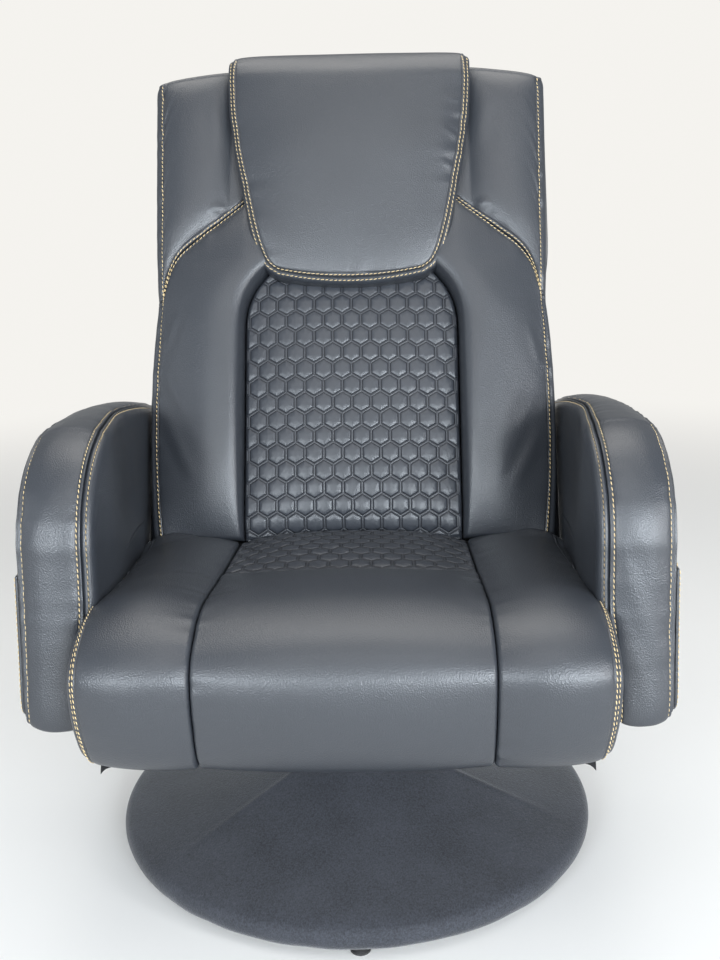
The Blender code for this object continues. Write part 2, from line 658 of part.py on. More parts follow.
def seat_chain():
    """Pairs of (y, z) points, on the seat's top and on its underside, from the rear to the front lip."""
    quilt_rise_share = 0.45
    crest_shares = (0.30, 0.65)
    floor = SEAT_BOARD_TOP + GAP
    rear_top = (lean_y(-GAP, SEAT_REAR_TOP), SEAT_REAR_TOP)
    rear_low = (lean_y(-GAP, floor), floor)
    quilt_z = mix(SEAT_REAR_TOP, SEAT_CREST_Z, quilt_rise_share)
    top = [rear_top, (SEAT_QUILT_Y, quilt_z)]
    top += [(mix(SEAT_QUILT_Y, SEAT_CREST_Y, s), mix(quilt_z, SEAT_CREST_Z, s)) for s in crest_shares]
    nose_size = (SEAT_CREST_Y - SEAT_NOSE_Y, SEAT_CREST_Z - SEAT_NOSE_Z)
    top += arc((SEAT_CREST_Y, SEAT_NOSE_Z), nose_size, 90, 180, 5)
    lip_size = (SEAT_LIP_Y - SEAT_NOSE_Y, SEAT_NOSE_Z - SEAT_LIP_Z)
    top += arc((SEAT_LIP_Y, SEAT_NOSE_Z), lip_size, 180, 262, 4)[1:]
    board_edge = SEAT_BOARD_FRONT - GAP
    low = [rear_low, (SEAT_QUILT_Y, floor)]
    low += [(y, floor) for y, _ in top[2:5]]
    low += [(mix(SEAT_CREST_Y, board_edge, s), floor) for s in (1 / 2, 1)]
    low += [(board_edge, mix(floor, SEAT_BOARD_Z, s)) for s in (1 / 2, 1)]
    inner_end = SEAT_LIP_Y + 2 * DUST_THICK
    missing = len(top) - len(low)
    low += [(mix(board_edge, inner_end, (s + 1) / missing), SEAT_BOARD_Z) for s in range(missing)]
    return list(zip(top, low))


def lip_sag(x, z):
    """How much lower the seat's front hangs between its sides than at them, at this height."""
    down = max(0, (SEAT_NOSE_Z - z) / (SEAT_NOSE_Z - SEAT_LIP_Z))
    across = min(1, (SEAT_EDGE_X - abs(x)) / (SEAT_EDGE_X - SEAT_SEAM_X))
    return SEAT_LIP_SAG * down**2 * across


def chain_normal(chain, j):
    """Outward direction of the seat's top at a station."""
    before, after = chain[max(j - 1, 0)][0], chain[min(j + 1, len(chain) - 1)][0]
    along = Vector((after[0] - before[0], after[1] - before[1]))
    return Vector((along.y, -along.x)).normalized()


def swell(share, power=2.5):
    """A crown that is zero at both ends and one in the middle."""
    return 1 - abs(2 * share - 1) ** power


def make_seat_front():
    """The smooth centre of the seat, from the quilted strip over the nose to the front lip."""
    crown = 0.009
    columns = 8
    half = SEAT_SEAM_X - GAP / 2
    chain = seat_chain()
    last = len(chain) - 1
    outer, inner = [], []
    for j in range(1, last + 1):
        inset = GAP / 2 if j == 1 else 0
        (top_y, top_z), (low_y, low_z) = chain[j]
        normal = chain_normal(chain, j)
        outer_row, inner_row = [], []
        for c in range(columns + 1):
            u = c / columns
            rise = crown * swell(u) * swell((j - 1) / (last - 1), 4)
            x = mix(-half, half, u)
            z = top_z - lip_sag(x, top_z) + normal.y * rise
            outer_row.append((x, top_y - inset + normal.x * rise, z))
            inner_row.append((x, low_y - inset, low_z))
        outer.append(outer_row)
        inner.append(inner_row)
    mesh = between_mesh("seat_front_cushion", outer, inner)
    add("seat_front_cushion", mesh, LEATHER, tilt_axis)


def make_seat_bolster(name, side):
    """A side of the seat. Its outer wall widens downwards until it meets the arm."""
    crown = 0.011
    columns = 6
    chain = seat_chain()
    last = len(chain) - 1
    flare = BODY_HALF_WIDTH - SEAT_EDGE_X
    outer, inner = [], []
    for j in range(last + 1):
        (top_y, top_z), (low_y, low_z) = chain[j]
        normal = chain_normal(chain, j)
        beyond = max(0, (SEAT_CREST_Y - top_y) / (SEAT_CREST_Y - SEAT_NOSE_Y))
        spread = flare * (1 - min(1, beyond) ** 2)
        outer_row, inner_row = [], []
        for c in range(columns + 1):
            u = c / columns
            rise = crown * swell(u) * swell(j / last, 4)
            px = mix(SEAT_SEAM_X + GAP / 2, SEAT_EDGE_X, u)
            low_x = mix(SEAT_SEAM_X + GAP / 2, SEAT_EDGE_X + spread, u)
            z = top_z - lip_sag(px, top_z) + normal.y * rise
            outer_row.append((side * px, top_y + normal.x * rise, z))
            inner_row.append((side * low_x, low_y, low_z))
        outer.append(outer_row)
        inner.append(inner_row)
    add(name, between_mesh(name, outer, inner), LEATHER, tilt_axis)


# Hexagon quilting, used on the seat and on the back
def quilt_patch(width, length):
    """Cells of a hexagon quilt on a width by length rectangle: (u, v, lift) points and triangles.
    lift is 1 in the middle of a cell and 0 on the stitched lines. Cells on the border are cut off
    straight."""
    half_columns = round(2 * width / HEX_PITCH)
    pitch = width / (half_columns / 2)
    regular = pitch / math.sqrt(3)
    rows = round((length / regular - 1) / 1.5) + 1
    side = length / (1.5 * (rows - 1) + 1)
    points, index, faces = [], {}, []

    def place(x, y, lift):
        x = min(max(x, 0), width)
        y = min(max(y, 0), length)
        key = (round(x / pitch, 3), round(y / side, 3), lift)
        if key not in index:
            index[key] = len(points)
            points.append((x, y, lift))
        return index[key]

    for row in range(rows):
        cy = side * (0.5 + 1.5 * row)
        shift = 0 if row % 2 else 1
        for step in range(shift, half_columns + 1, 2):
            cx = pitch * step / 2
            whole = 0 < step < half_columns
            centre = place(cx, cy, 1 if whole else 0)
            corners = []
            for turn in range(6):
                angle = math.radians(30 + 60 * turn)
                dx, dy = pitch / math.sqrt(3) * math.cos(angle), side * math.sin(angle)
                corners.append(place(cx + dx, cy + dy, 0))
            for a, b in zip(corners, corners[1:] + corners[:1]):
                if len({a, b, centre}) == 3 and turns_left(points, centre, a, b):
                    faces.append((centre, a, b))
    return points, faces


def turns_left(points, a, b, c):
    """Whether three points enclose any area."""
    (ax, ay, _), (bx, by, _), (cx, cy, _) = points[a], points[b], points[c]
    return (bx - ax) * (cy - ay) - (by - ay) * (cx - ax) > HEX_PITCH * HEX_PITCH / 1000


def backed_mesh(name, front, faces, rear):
    """A closed body from an open front patch: its border runs to the point that rear gives for each."""
    work = bmesh.new()
    verts = [work.verts.new(p) for p in front]
    for face in faces:
        work.faces.new([verts[i] for i in face])
    border = [e for e in work.edges if e.is_boundary]
    made = bmesh.ops.extrude_edge_only(work, edges=border)["geom"]
    back_verts = [g for g in made if isinstance(g, bmesh.types.BMVert)]
    back_edges = [g for g in made if isinstance(g, bmesh.types.BMEdge) and g.is_boundary]
    for vert in back_verts:
        vert.co = rear(vert.co)
    bmesh.ops.contextual_create(work, geom=back_edges)
    bmesh.ops.recalc_face_normals(work, faces=work.faces)
    mesh = bpy.data.meshes.new(name)
    work.to_mesh(mesh)
    work.free()
    mesh.shade_smooth()
    mesh.set_sharp_from_angle(angle=math.radians(60))
    return mesh


def make_seat_quilt():
    """The quilted strip at the rear of the seat."""
    puff = 0.0035
    crown = 0.004
    chain = seat_chain()
    (rear_y, rear_z), (low_rear_y, floor) = chain[0]
    (front_y, front_z), _ = chain[1]
    front_y += GAP / 2
    width = 2 * (SEAT_SEAM_X - GAP / 2)
    points, faces = quilt_patch(width, rear_y - front_y)
    front = []
    for u, v, lift in points:
        rise = crown * swell(u / width) * swell(v / (rear_y - front_y)) + puff * lift
        z = mix(front_z, rear_z, v / (rear_y - front_y))
        front.append((u - width / 2, front_y + v, z - puff / 2 + rise))

    def rear(p):
        share = (p.y - front_y) / (rear_y - front_y)
        return Vector((p.x, mix(front_y, low_rear_y, share), floor))

    mesh = backed_mesh("seat_quilt_cushion", front, faces, rear)
    add("seat_quilt_cushion", mesh, LEATHER, tilt_axis)


# Back, drawn in its own frame: y is the depth behind its front plane, z runs up along it
PAD_REAR = BACK_PAD_DEPTH - GAP


def back_edge(height):
    """Half width of the back's stitched front edge."""
    if height < BOLSTER_SHOULDER:
        share = max(0, height) / BOLSTER_SHOULDER
        return mix(BACK_EDGE_FOOT_X, BACK_EDGE_MID_X, math.sin(share * math.pi / 2))
    share = (height - BOLSTER_SHOULDER) / (BACK_HEIGHT - BOLSTER_SHOULDER)
    return mix(BACK_EDGE_MID_X, BACK_EDGE_TOP_X, share)


def shoulder(share):
    """Height of the curved seam, from its inner end at share 0 to the outer edge at 1."""
    slant_share = 0.6
    drop = mix(share**12, share, slant_share)
    return mix(BOLSTER_TOP, BOLSTER_SHOULDER, drop)


def back_flare(height):
    """How much wider the back is behind its front edge. It closes at the outer end of the curved seam."""
    near = min(1, abs(height - BOLSTER_SHOULDER) / BACK_PAD_DEPTH)
    return near * (BODY_HALF_WIDTH - GAP - back_edge(height))


def back_top(x):
    """Height of the back's top edge: level behind the headrest, then falling to its rounded corners."""
    beyond = max(0, (abs(x) - PILLOW_HALF_WIDTH) / (BACK_EDGE_TOP_X - PILLOW_HALF_WIDTH))
    return BACK_HEIGHT - BACK_SHOULDER_DROP * beyond**1.5 - BACK_CORNER_R * min(1, beyond) ** 14


SHOULDER_SHARES = (0, 0.2, 0.4, 0.6, 0.75, 0.87, 0.95, 1)
SHOULDER_SEAM = 0.001  # half the width of the curved seam's groove


def make_back_quilt():
    puff = 0.0035
    groove = 0.004
    crown = 0.008
    width = 2 * (BACK_SEAM_X - GAP / 2)
    length = QUILT_TOP - GAP / 2
    points, faces = quilt_patch(width, length)
    front = []
    for u, v, lift in points:
        share = min(1, v / PILLOW_FOOT)
        rise = crown * swell(u / width) * swell(share) + puff * lift
        front.append((u - width / 2, groove - rise, v))
    mesh = backed_mesh("back_quilt", front, faces, lambda p: Vector((p.x, PAD_REAR, p.z)))
    add("back_quilt", mesh, LEATHER, back_axis, in_own_frame=True)


def make_back_bolster(name, side):
    """A bulging lower side of the back, under the curved seam."""
    crown = 0.028
    inner_x = BACK_SEAM_X + GAP / 2
    height_shares = (0, 0.04, 0.12, 0.26, 0.42, 0.58, 0.74, 0.88, 0.96, 1)
    outer, inner = [], []
    for v in height_shares:
        outer_row, inner_row = [], []
        for u in SHOULDER_SHARES:
            z = v * (shoulder(u) - SHOULDER_SEAM)
            x = mix(inner_x, back_edge(z), u)
            rear_x = x + back_flare(z) if u == 1 else x
            rise = crown * swell(u, 3) * swell(v, 4)
            outer_row.append((side * x, -rise, z))
            inner_row.append((side * rear_x, PAD_REAR, z))
        outer.append(outer_row)
        inner.append(inner_row)
    mesh = between_mesh(name, outer, inner)
    add(name, mesh, LEATHER, back_axis, in_own_frame=True)


def make_back_upper(name, side):
    """An upper side panel, above the curved seam. It lies flat where the headrest covers it."""
    crown = 0.010
    height_shares = (0, 0.08, 0.25, 0.5, 0.75, 0.92, 1)
    inner_x = BACK_SEAM_X + GAP / 2
    outer, inner = [], []
    for v in height_shares:
        outer_row, inner_row = [], []
        for u in SHOULDER_SHARES:
            top = back_top(mix(inner_x, BACK_EDGE_TOP_X, u))
            z = mix(shoulder(u) + SHOULDER_SEAM, top, v)
            x = mix(inner_x, back_edge(z), u)
            rear_x = x + back_flare(z) if u == 1 else x
            flat = max(PILLOW_HALF_WIDTH, mix(inner_x, back_edge(z), SHOULDER_SHARES[1]))
            clear = max(0, (x - flat) / (back_edge(z) - flat))
            rise = crown * swell(clear) * swell(v, 6)
            outer_row.append((side * x, -rise, z))
            inner_row.append((side * rear_x, PAD_REAR, z))
        outer.append(outer_row)
        inner.append(inner_row)
    mesh = between_mesh(name, outer, inner)
    add(name, mesh, LEATHER, back_axis, in_own_frame=True)


def make_back_center():
    """The flat pad behind the headrest."""
    half = BACK_SEAM_X - GAP / 2
    z = (QUILT_TOP + GAP / 2, BACK_HEIGHT)
    mesh = box_mesh("back_upper_center", (-half, half), (0, PAD_REAR), z)
    add("back_upper_center", mesh, LEATHER, back_axis, in_own_frame=True)


BACK_BOARD_MARGIN = 0.036
BACK_BOARD_HALF_X = BODY_HALF_WIDTH - BACK_BOARD_MARGIN
BACK_BOARD_TOP_INSET = 0.018
BACK_BOARD_FOOT_INSET = 0.004
BACK_BOARD_TOP = BACK_HEIGHT - BACK_BOARD_TOP_INSET
BACK_BOARD_FOOT = lean_height(BACK_PAD_DEPTH + BOARD_THICK, SEAT_UNDERSIDE) + BACK_BOARD_FOOT_INSET


def make_back_board():
    x = (-BACK_BOARD_HALF_X, BACK_BOARD_HALF_X)
    y = (BACK_PAD_DEPTH, BACK_PAD_DEPTH + BOARD_THICK)
    mesh = box_mesh("back_board", x, y, (BACK_BOARD_FOOT, BACK_BOARD_TOP))
    add("back_board", mesh, PLYWOOD, back_axis, in_own_frame=True)


def make_back_shell():
    """The padded rear cover: a shallow tray that takes the board, with rounded rear edges."""
    side_depth = 0.074  # where the side wall ends and the rear face starts to round
    shares = (-1, -0.97, -0.88, -0.6, 0, 0.6, 0.88, 0.97, 1)
    front_foot = lean_height(PAD_REAR + GAP, SEAT_UNDERSIDE)
    rear_foot = lean_height(BACK_DEPTH, SEAT_UNDERSIDE)
    front, rear = [], []
    for v in shares:
        t = (v + 1) / 2
        front_row, rear_row = [], []
        for u in shares:
            x = u * BODY_HALF_WIDTH
            bulge = (BACK_DEPTH - side_depth) * (1 - abs(u) ** 8) * (1 - abs(v) ** 8)
            front_row.append((x, BACK_PAD_DEPTH, mix(front_foot, back_top(x), t)))
            rear_row.append((x, side_depth + bulge, mix(rear_foot, back_top(x), t)))
        front.append(front_row)
        rear.append(rear_row)
    mesh = between_mesh("back_shell", rear, front)
    shell = add("back_shell", mesh, LEATHER, back_axis, in_own_frame=True)
    half = BACK_BOARD_HALF_X + GAP
    y = (BACK_PAD_DEPTH - OVERRUN, BACK_PAD_DEPTH + BOARD_THICK + GAP)
    recess = box_mesh("back_shell_recess", (-half, half), y, (BACK_BOARD_FOOT - GAP, BACK_BOARD_TOP + GAP))
    combine(shell, recess, back_axis, in_own_frame=True)


def make_pillow():
    """The headrest: a tapered pad that hooks over the top edge of the back."""
    crown_over = 0.003
    hood_depth = 0.078
    top_crown_share = 0.6
    hood_inside = BACK_HEIGHT + GAP
    corner = 0.012
    hood_share = (hood_inside - PILLOW_FOOT) / (PILLOW_TOP - PILLOW_FOOT)
    rise_shares = (0, 0.035, 0.10, 0.22, 0.40, 0.60, 0.80, hood_share)
    width_shares = (0.60, 0.69, 0.75, 0.815, 0.885, 0.96, 1, 1)
    columns = [math.sin(math.pi / 2 * (c / 6 - 1)) for c in range(13)]
    outer, inner = [], []
    for v, width in zip(rise_shares, width_shares):
        outer_row, inner_row = [], []
        for u in columns:
            smile = corner * u * u * (1 - v) ** 3
            z = mix(PILLOW_FOOT, PILLOW_TOP, v) + smile
            x = u * width * PILLOW_HALF_WIDTH
            fade = mix(1, top_crown_share, (v / rise_shares[-1]) ** 6)
            soft = (1 - u**4) * min(1, 0.1 + 1.6 * v) ** 0.6 * fade
            outer_row.append((x, -PILLOW_EDGE - PILLOW_CROWN * soft, z))
            inner_row.append((x, -GAP, min(z, hood_inside)))
        outer.append(outer_row)
        inner.append(inner_row)
    for step, turn in enumerate((30, 60, 90, 120, 150, 178)):
        angle = math.radians(turn)
        outer_row, inner_row = [], []
        for u in columns:
            x = u * PILLOW_HALF_WIDTH
            depth = PILLOW_EDGE + PILLOW_CROWN * top_crown_share * (1 - u**4)
            middle = (hood_depth - depth) / 2
            reach = (hood_depth + depth) / 2
            top = PILLOW_TOP - crown_over + crown_over * (1 - u**4)
            z = mix(hood_inside, top, max(1 / 2, math.sin(angle) ** 0.6))
            outer_row.append((x, middle - reach * math.cos(angle), z))
            inner_row.append((x, mix(-GAP, hood_depth - corner / 4, (step + 1) / 6), hood_inside))
        outer.append(outer_row)
        inner.append(inner_row)
    mesh = between_mesh("head_pillow", outer, inner)
    add("head_pillow", mesh, LEATHER, back_axis, in_own_frame=True)


# Arms: D-shaped pads over a plywood board, held to the seat by steel plates
ARM_BOARD_THICK = 0.018
ARM_BOARD_X = ARM_IN_X + (ARM_WIDTH - ARM_BOARD_THICK) / 2
ARM_BOARD_FRONT = -0.200
ARM_BOARD_REAR = 0.090
ARM_BOARD_TOP = 0.428
ARM_BRACKET_Y = (-0.150, 0.000)
ARM_BOLT_Y = -0.075
BESIDE_PLATE = SEAT_BOARD_HALF_X - SEAT_PLATE_HALF_X  # room for the brackets beside the seat plate
BACK_BRACKET_SHARE = 0.25
BACK_BRACKET_HALF_SHARE = 0.136
ARM_BRACKET_SHARE = 0.55
ARM_SEAT_BOLT_SHARE = 0.77
ARM_BRACKET_IN_X = SEAT_PLATE_HALF_X + BESIDE_PLATE * ARM_BRACKET_SHARE
ARM_BRACKET_SEAT_BOLT = (SEAT_PLATE_HALF_X + BESIDE_PLATE * ARM_SEAT_BOLT_SHARE, ARM_BOLT_Y)
BACK_BRACKET_X = SEAT_PLATE_HALF_X + BESIDE_PLATE * BACK_BRACKET_SHARE
BACK_BRACKET_HALF = BESIDE_PLATE * BACK_BRACKET_HALF_SHARE
BACK_BRACKET_BOLT = (BACK_BRACKET_X, -0.015)
ARM_BOLT_REACH = 0.030  # how far that bolt runs up into the board
ARM_SEAM = 0.004  # how far the arm's side faces stand out from their seams
ARM_SEAM_INSET = 0.006  # how far the side faces are drawn in at their edges
ARM_SLOPE_INSET = 0.014
ARM_BAND_CROWN = 0.004  # how far the band round the arm bulges between its seams


def arm_outline(inset):
    """The arm seen from the side, (y, z), drawn in by this much."""
    corner = 0.022
    rear_corner = 0.035
    floor = SEAT_UNDERSIDE + inset
    lean = (ARM_FRONT_Y - ARM_FOOT_Y) / (ARM_FRONT_Z - SEAT_UNDERSIDE)
    foot = (ARM_FOOT_Y + inset + lean * corner, floor + corner)
    points = [(foot[0] + corner, floor), (foot[0] + corner * 0.3, floor + corner * 0.3), foot]
    points.append((mix(foot[0], ARM_FRONT_Y + inset, 0.5), mix(foot[1], ARM_FRONT_Z, 0.5)))
    nose_size = (ARM_TOP_Y - ARM_FRONT_Y - inset, ARM_TOP_Z - ARM_FRONT_Z - inset)
    points += arc((ARM_TOP_Y, ARM_FRONT_Z), nose_size, 180, 90, 6)
    rear_y = lean_y(BACK_DEPTH, ARM_REAR_Z) - inset
    top_rear = (rear_y - rear_corner, ARM_REAR_Z - inset)
    for s in (0.35, 0.7):
        bow = 0.25 * math.sin(math.pi * s) * (ARM_TOP_Z - ARM_REAR_Z)
        points.append((mix(ARM_TOP_Y, top_rear[0], s), mix(ARM_TOP_Z - inset, top_rear[1], s) + bow))
    points.append(top_rear)
    points.append((rear_y - rear_corner * 0.25, ARM_REAR_Z - inset - rear_corner * 0.2))
    drop = ARM_REAR_Z - rear_corner
    points.append((lean_y(BACK_DEPTH, drop) - inset, drop))
    points.append((lean_y(BACK_DEPTH, mix(drop, floor, 0.5)) - inset, mix(drop, floor, 0.5)))
    points.append((lean_y(BACK_DEPTH, floor + corner) - inset, floor + corner))
    points.append((lean_y(BACK_DEPTH, floor) - inset - corner, floor))
    points.append((mix(foot[0] + corner, lean_y(BACK_DEPTH, floor) - inset - corner, 0.5), floor))
    return points


def make_arm(side, word):
    outer_x = ARM_IN_X + ARM_WIDTH
    layers = (
        (ARM_IN_X, ARM_SLOPE_INSET),
        (ARM_IN_X, ARM_SEAM_INSET),
        (ARM_IN_X + ARM_SEAM, 0),
        (ARM_IN_X + ARM_WIDTH / 3, -ARM_BAND_CROWN),
        (outer_x - ARM_WIDTH / 3, -ARM_BAND_CROWN),
        (outer_x - ARM_SEAM, 0),
        (outer_x, ARM_SEAM_INSET),
    )
    rings = []
    for x, inset in layers:
        rings.append([(side * x, y, max(z, SEAT_UNDERSIDE)) for y, z in arm_outline(inset)])
    name = f"arm_pad_{word}"
    pad = add(name, lofted_mesh(name, rings), LEATHER, tilt_axis)
    x = sorted((side * (ARM_BOARD_X - GAP), side * (ARM_BOARD_X + ARM_BOARD_THICK + GAP)))
    y = (ARM_BOARD_FRONT - GAP, ARM_BOARD_REAR + GAP)
    slot = box_mesh(f"{name}_slot", x, y, (SEAT_UNDERSIDE - OVERRUN, ARM_BOARD_TOP + GAP))
    combine(pad, slot, tilt_axis)
    x = sorted((side * ARM_BOARD_X, side * (ARM_BOARD_X + ARM_BOARD_THICK)))
    y = (ARM_BOARD_FRONT, ARM_BOARD_REAR)
    mesh = box_mesh(f"arm_board_{word}", x, y, (SEAT_UNDERSIDE, ARM_BOARD_TOP))
    board = add(f"arm_board_{word}", mesh, PLYWOOD, tilt_axis)
    arm_bolt = (side * (ARM_BOARD_X + ARM_BOARD_THICK / 2), ARM_BOLT_Y)
    reach = SEAT_UNDERSIDE + ARM_BOLT_REACH
    drill(board, f"arm_board_hole_{word}", [arm_bolt], BOLT_R + GAP, (SEAT_UNDERSIDE, reach), tilt_axis)
    bracket_x = sorted((side * ARM_BRACKET_IN_X, side * (ARM_BOARD_X + ARM_BOARD_THICK)))
    mesh = box_mesh(f"arm_bracket_{word}", bracket_x, ARM_BRACKET_Y, (BRACKET_Z, FIX_Z))
    bracket = add(f"arm_bracket_{word}", mesh, BLACK_STEEL, tilt_axis)
    seat_bolt = (side * ARM_BRACKET_SEAT_BOLT[0], ARM_BRACKET_SEAT_BOLT[1])
    holes = [arm_bolt, seat_bolt]
    drill(bracket, f"arm_bracket_hole_{word}", holes, BOLT_R + GAP, (BRACKET_Z, FIX_Z), tilt_axis)
    bolt(f"arm_bolt_{word}_1", *arm_bolt, BRACKET_Z, reach, tilt_axis)
    bolt(f"arm_bolt_{word}_2", *seat_bolt, BRACKET_Z, SEAT_BOARD_TOP - GAP, tilt_axis)


POCKET_TOP = 0.390
POCKET_THICK = 0.0035
POCKET_INSET = 0.009


def make_pocket(side, word):
    """A flat pocket sewn on the outside of the arm, which lies closed."""
    soft = 0.002
    inside = ARM_IN_X + ARM_WIDTH + GAP
    outside = inside + POCKET_THICK
    rings = []
    for x, inset in ((inside, 0), (outside - soft / 2, 0), (outside, soft)):
        shape = pocket_outline(POCKET_INSET + inset, POCKET_TOP - inset)
        rings.append([(side * x, y, z) for y, z in shape])
    name = f"arm_pocket_{word}"
    add(name, lofted_mesh(name, rings), LEATHER, tilt_axis)


def pocket_outline(inset, top):
    """The lower part of the arm's outline, up to the pocket's top hem."""
    whole = arm_outline(inset)
    front = [p for p in whole[:3] if p[1] < top]
    share = (top - front[-1][1]) / (ARM_FRONT_Z - front[-1][1])
    front.append((mix(front[-1][0], ARM_FRONT_Y + inset, share), top))
    rear = [(lean_y(BACK_DEPTH, top) - inset, top)] + whole[-3:]
    return front + rear


def make_back_bracket(side, word):
    """A bent steel strap from under the seat board to the front of the back board."""
    seat_drop = 0.040  # from the seat's top down to the strap's upper end
    foot_margin = 0.020  # from the bolt to the strap's front end
    reach = lean_height(PAD_REAR, BACK_FOOT_Z) - seat_drop
    top_z = BACK_FOOT_Z + reach * math.cos(BACK_LEAN)
    rear, front = PAD_REAR, PAD_REAR - BRACKET_THICK
    start = BACK_BRACKET_BOLT[1] - foot_margin
    outline = [
        (start, BRACKET_Z),
        (lean_y(rear, BRACKET_Z), BRACKET_Z),
        (lean_y(rear, top_z), top_z),
        (lean_y(front, top_z), top_z),
        (lean_y(front, FIX_Z), FIX_Z),
        (start, FIX_Z),
    ]
    x = [side * BACK_BRACKET_X - BACK_BRACKET_HALF, side * BACK_BRACKET_X + BACK_BRACKET_HALF]
    name = f"back_bracket_{word}"
    bracket = add(name, slab_mesh(name, outline, x), BLACK_STEEL, tilt_axis)
    place = (side * BACK_BRACKET_BOLT[0], BACK_BRACKET_BOLT[1])
    drill(bracket, f"back_bracket_hole_{word}", [place], BOLT_R + GAP, (BRACKET_Z, FIX_Z), tilt_axis)
    bolt(f"back_bolt_{word}", *place, BRACKET_Z, SEAT_BOARD_TOP - GAP, tilt_axis)


def centre_on_origin():
    """Moves the chair along y, so that the origin lies under the middle of its outline."""
    bpy.context.view_layer.update()
    graph = bpy.context.evaluated_depsgraph_get()
    reach = []
    for obj in bpy.data.objects:
        if obj.type == "MESH" and not obj.hide_render:
            shape = obj.evaluated_get(graph)
            reach += [(shape.matrix_world @ vert.co).y for vert in shape.data.vertices]
    chair.location.y = -(min(reach) + max(reach)) / 2


make_ring()
for number in range(LEG_COUNT):
    make_leg(number)
for number in range(FOOT_COUNT):
    make_foot(number)
make_hub()
make_cover()
make_post()
make_bushes()
make_swivel()
make_tilt_pin()
make_torsion_bush()
make_stops()
make_seat_plate()
make_seat_board()
make_dust_cover()
make_seat_front()
make_seat_quilt()
make_back_quilt()
make_back_center()
make_back_board()
make_back_shell()
make_pillow()
for direction, side_name in ((-1, "left"), (1, "right")):
    make_seat_bolster(f"seat_bolster_{side_name}", direction)
    make_back_bolster(f"back_bolster_{side_name}", direction)
    make_back_upper(f"back_upper_{side_name}", direction)
    make_arm(direction, side_name)
    make_pocket(direction, side_name)
    make_back_bracket(direction, side_name)
centre_on_origin()
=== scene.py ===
"""The looks of the pedestal gaming chair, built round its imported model.

Metres, z up. x runs to the right of someone who faces the chair, and y from its front to its rear.
Pieces are drawn with the post's axis at x = y = 0, as in the part's source, and moved when they are made.
"""

import math

import bmesh
import bpy
import numpy as np
from mathutils import Matrix, Vector


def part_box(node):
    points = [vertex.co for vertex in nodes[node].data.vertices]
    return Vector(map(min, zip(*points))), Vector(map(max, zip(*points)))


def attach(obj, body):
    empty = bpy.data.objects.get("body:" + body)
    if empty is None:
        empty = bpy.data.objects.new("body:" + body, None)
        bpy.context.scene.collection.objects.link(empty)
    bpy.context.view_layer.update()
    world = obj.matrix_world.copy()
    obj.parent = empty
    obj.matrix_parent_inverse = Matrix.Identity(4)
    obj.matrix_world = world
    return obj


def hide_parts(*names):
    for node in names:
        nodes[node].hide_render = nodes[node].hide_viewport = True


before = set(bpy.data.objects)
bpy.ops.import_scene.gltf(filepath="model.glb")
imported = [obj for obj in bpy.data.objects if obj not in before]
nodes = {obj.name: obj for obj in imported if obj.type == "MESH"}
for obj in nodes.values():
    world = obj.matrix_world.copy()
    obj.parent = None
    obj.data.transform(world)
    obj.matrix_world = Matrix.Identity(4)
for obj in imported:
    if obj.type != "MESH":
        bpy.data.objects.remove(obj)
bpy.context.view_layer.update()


# Base ring, three spokes, the socket that they meet in, and the post: steel tube and turned steel,
# welded together and powder coated black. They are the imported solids, and take only their finish here.
class Wire:
    """A socket in a node tree. Arithmetic on it adds the Math nodes that it stands for."""

    def __init__(self, tree, socket):
        self.tree = tree
        self.socket = socket

    @classmethod
    def node(cls, tree, kind, settings=None, inputs=None, output=0):
        """An output of a new node. Its settings are set first, then its sockets' values and links."""
        made = tree.nodes.new(kind)
        for name, value in (settings or {}).items():
            setattr(made, name, value)
        for key, value in (inputs or {}).items():
            if isinstance(value, cls):
                tree.links.new(value.socket, made.inputs[key])
            else:
                made.inputs[key].default_value = value
        return cls(tree, made.outputs[output])

    def math(self, operation, *values):
        inputs = dict(enumerate(values))
        return Wire.node(self.tree, "ShaderNodeMath", {"operation": operation}, inputs)

    def __add__(self, other):
        return self.math("ADD", self, other)

    def __sub__(self, other):
        return self.math("SUBTRACT", self, other)

    def __rsub__(self, other):
        return self.math("SUBTRACT", other, self)

    def __mul__(self, other):
        return self.math("MULTIPLY", self, other)

    def __truediv__(self, other):
        return self.math("DIVIDE", self, other)

    def __pow__(self, other):
        return self.math("POWER", self, other)

    def __abs__(self):
        return self.math("ABSOLUTE", self)

    __radd__ = __add__
    __rmul__ = __mul__


def begin_finish(name, color, roughness, **sockets):
    """A Principled material, its shader node and the place on the object that its patterns read."""
    made = bpy.data.materials.new(name)
    made.use_nodes = True
    made.diffuse_color = (*color, 1)
    shader = made.node_tree.nodes["Principled BSDF"]
    shader.inputs["Base Color"].default_value = (*color, 1)
    shader.inputs["Roughness"].default_value = roughness
    for socket, value in sockets.items():
        shader.inputs[socket.replace("_", " ")].default_value = value
    place = Wire.node(made.node_tree, "ShaderNodeTexCoord", output="Object")
    return made, shader, place


def feed(shader, **wires):
    for socket, wire in wires.items():
        wire.tree.links.new(wire.socket, shader.inputs[socket.replace("_", " ")])


def clouds(place, scale, detail=2.0):
    """Soft random patches between 0 and 1, so many to a metre."""
    inputs = {"Vector": place, "Scale": scale, "Detail": detail}
    return Wire.node(place.tree, "ShaderNodeTexNoise", {}, inputs)


def cells(place, scale):
    """Distance to the middle of random cells, so many to a metre."""
    return Wire.node(place.tree, "ShaderNodeTexVoronoi", {}, {"Vector": place, "Scale": scale})


def tint(share, low, high):
    """A colour between two others."""
    inputs = {0: share, 6: (*low, 1), 7: (*high, 1)}
    return Wire.node(share.tree, "ShaderNodeMix", {"data_type": "RGBA"}, inputs, 2)


def relief(height, distance, strength=1.0):
    inputs = {"Height": height, "Distance": distance, "Strength": strength}
    return Wire.node(height.tree, "ShaderNodeBump", {}, inputs)


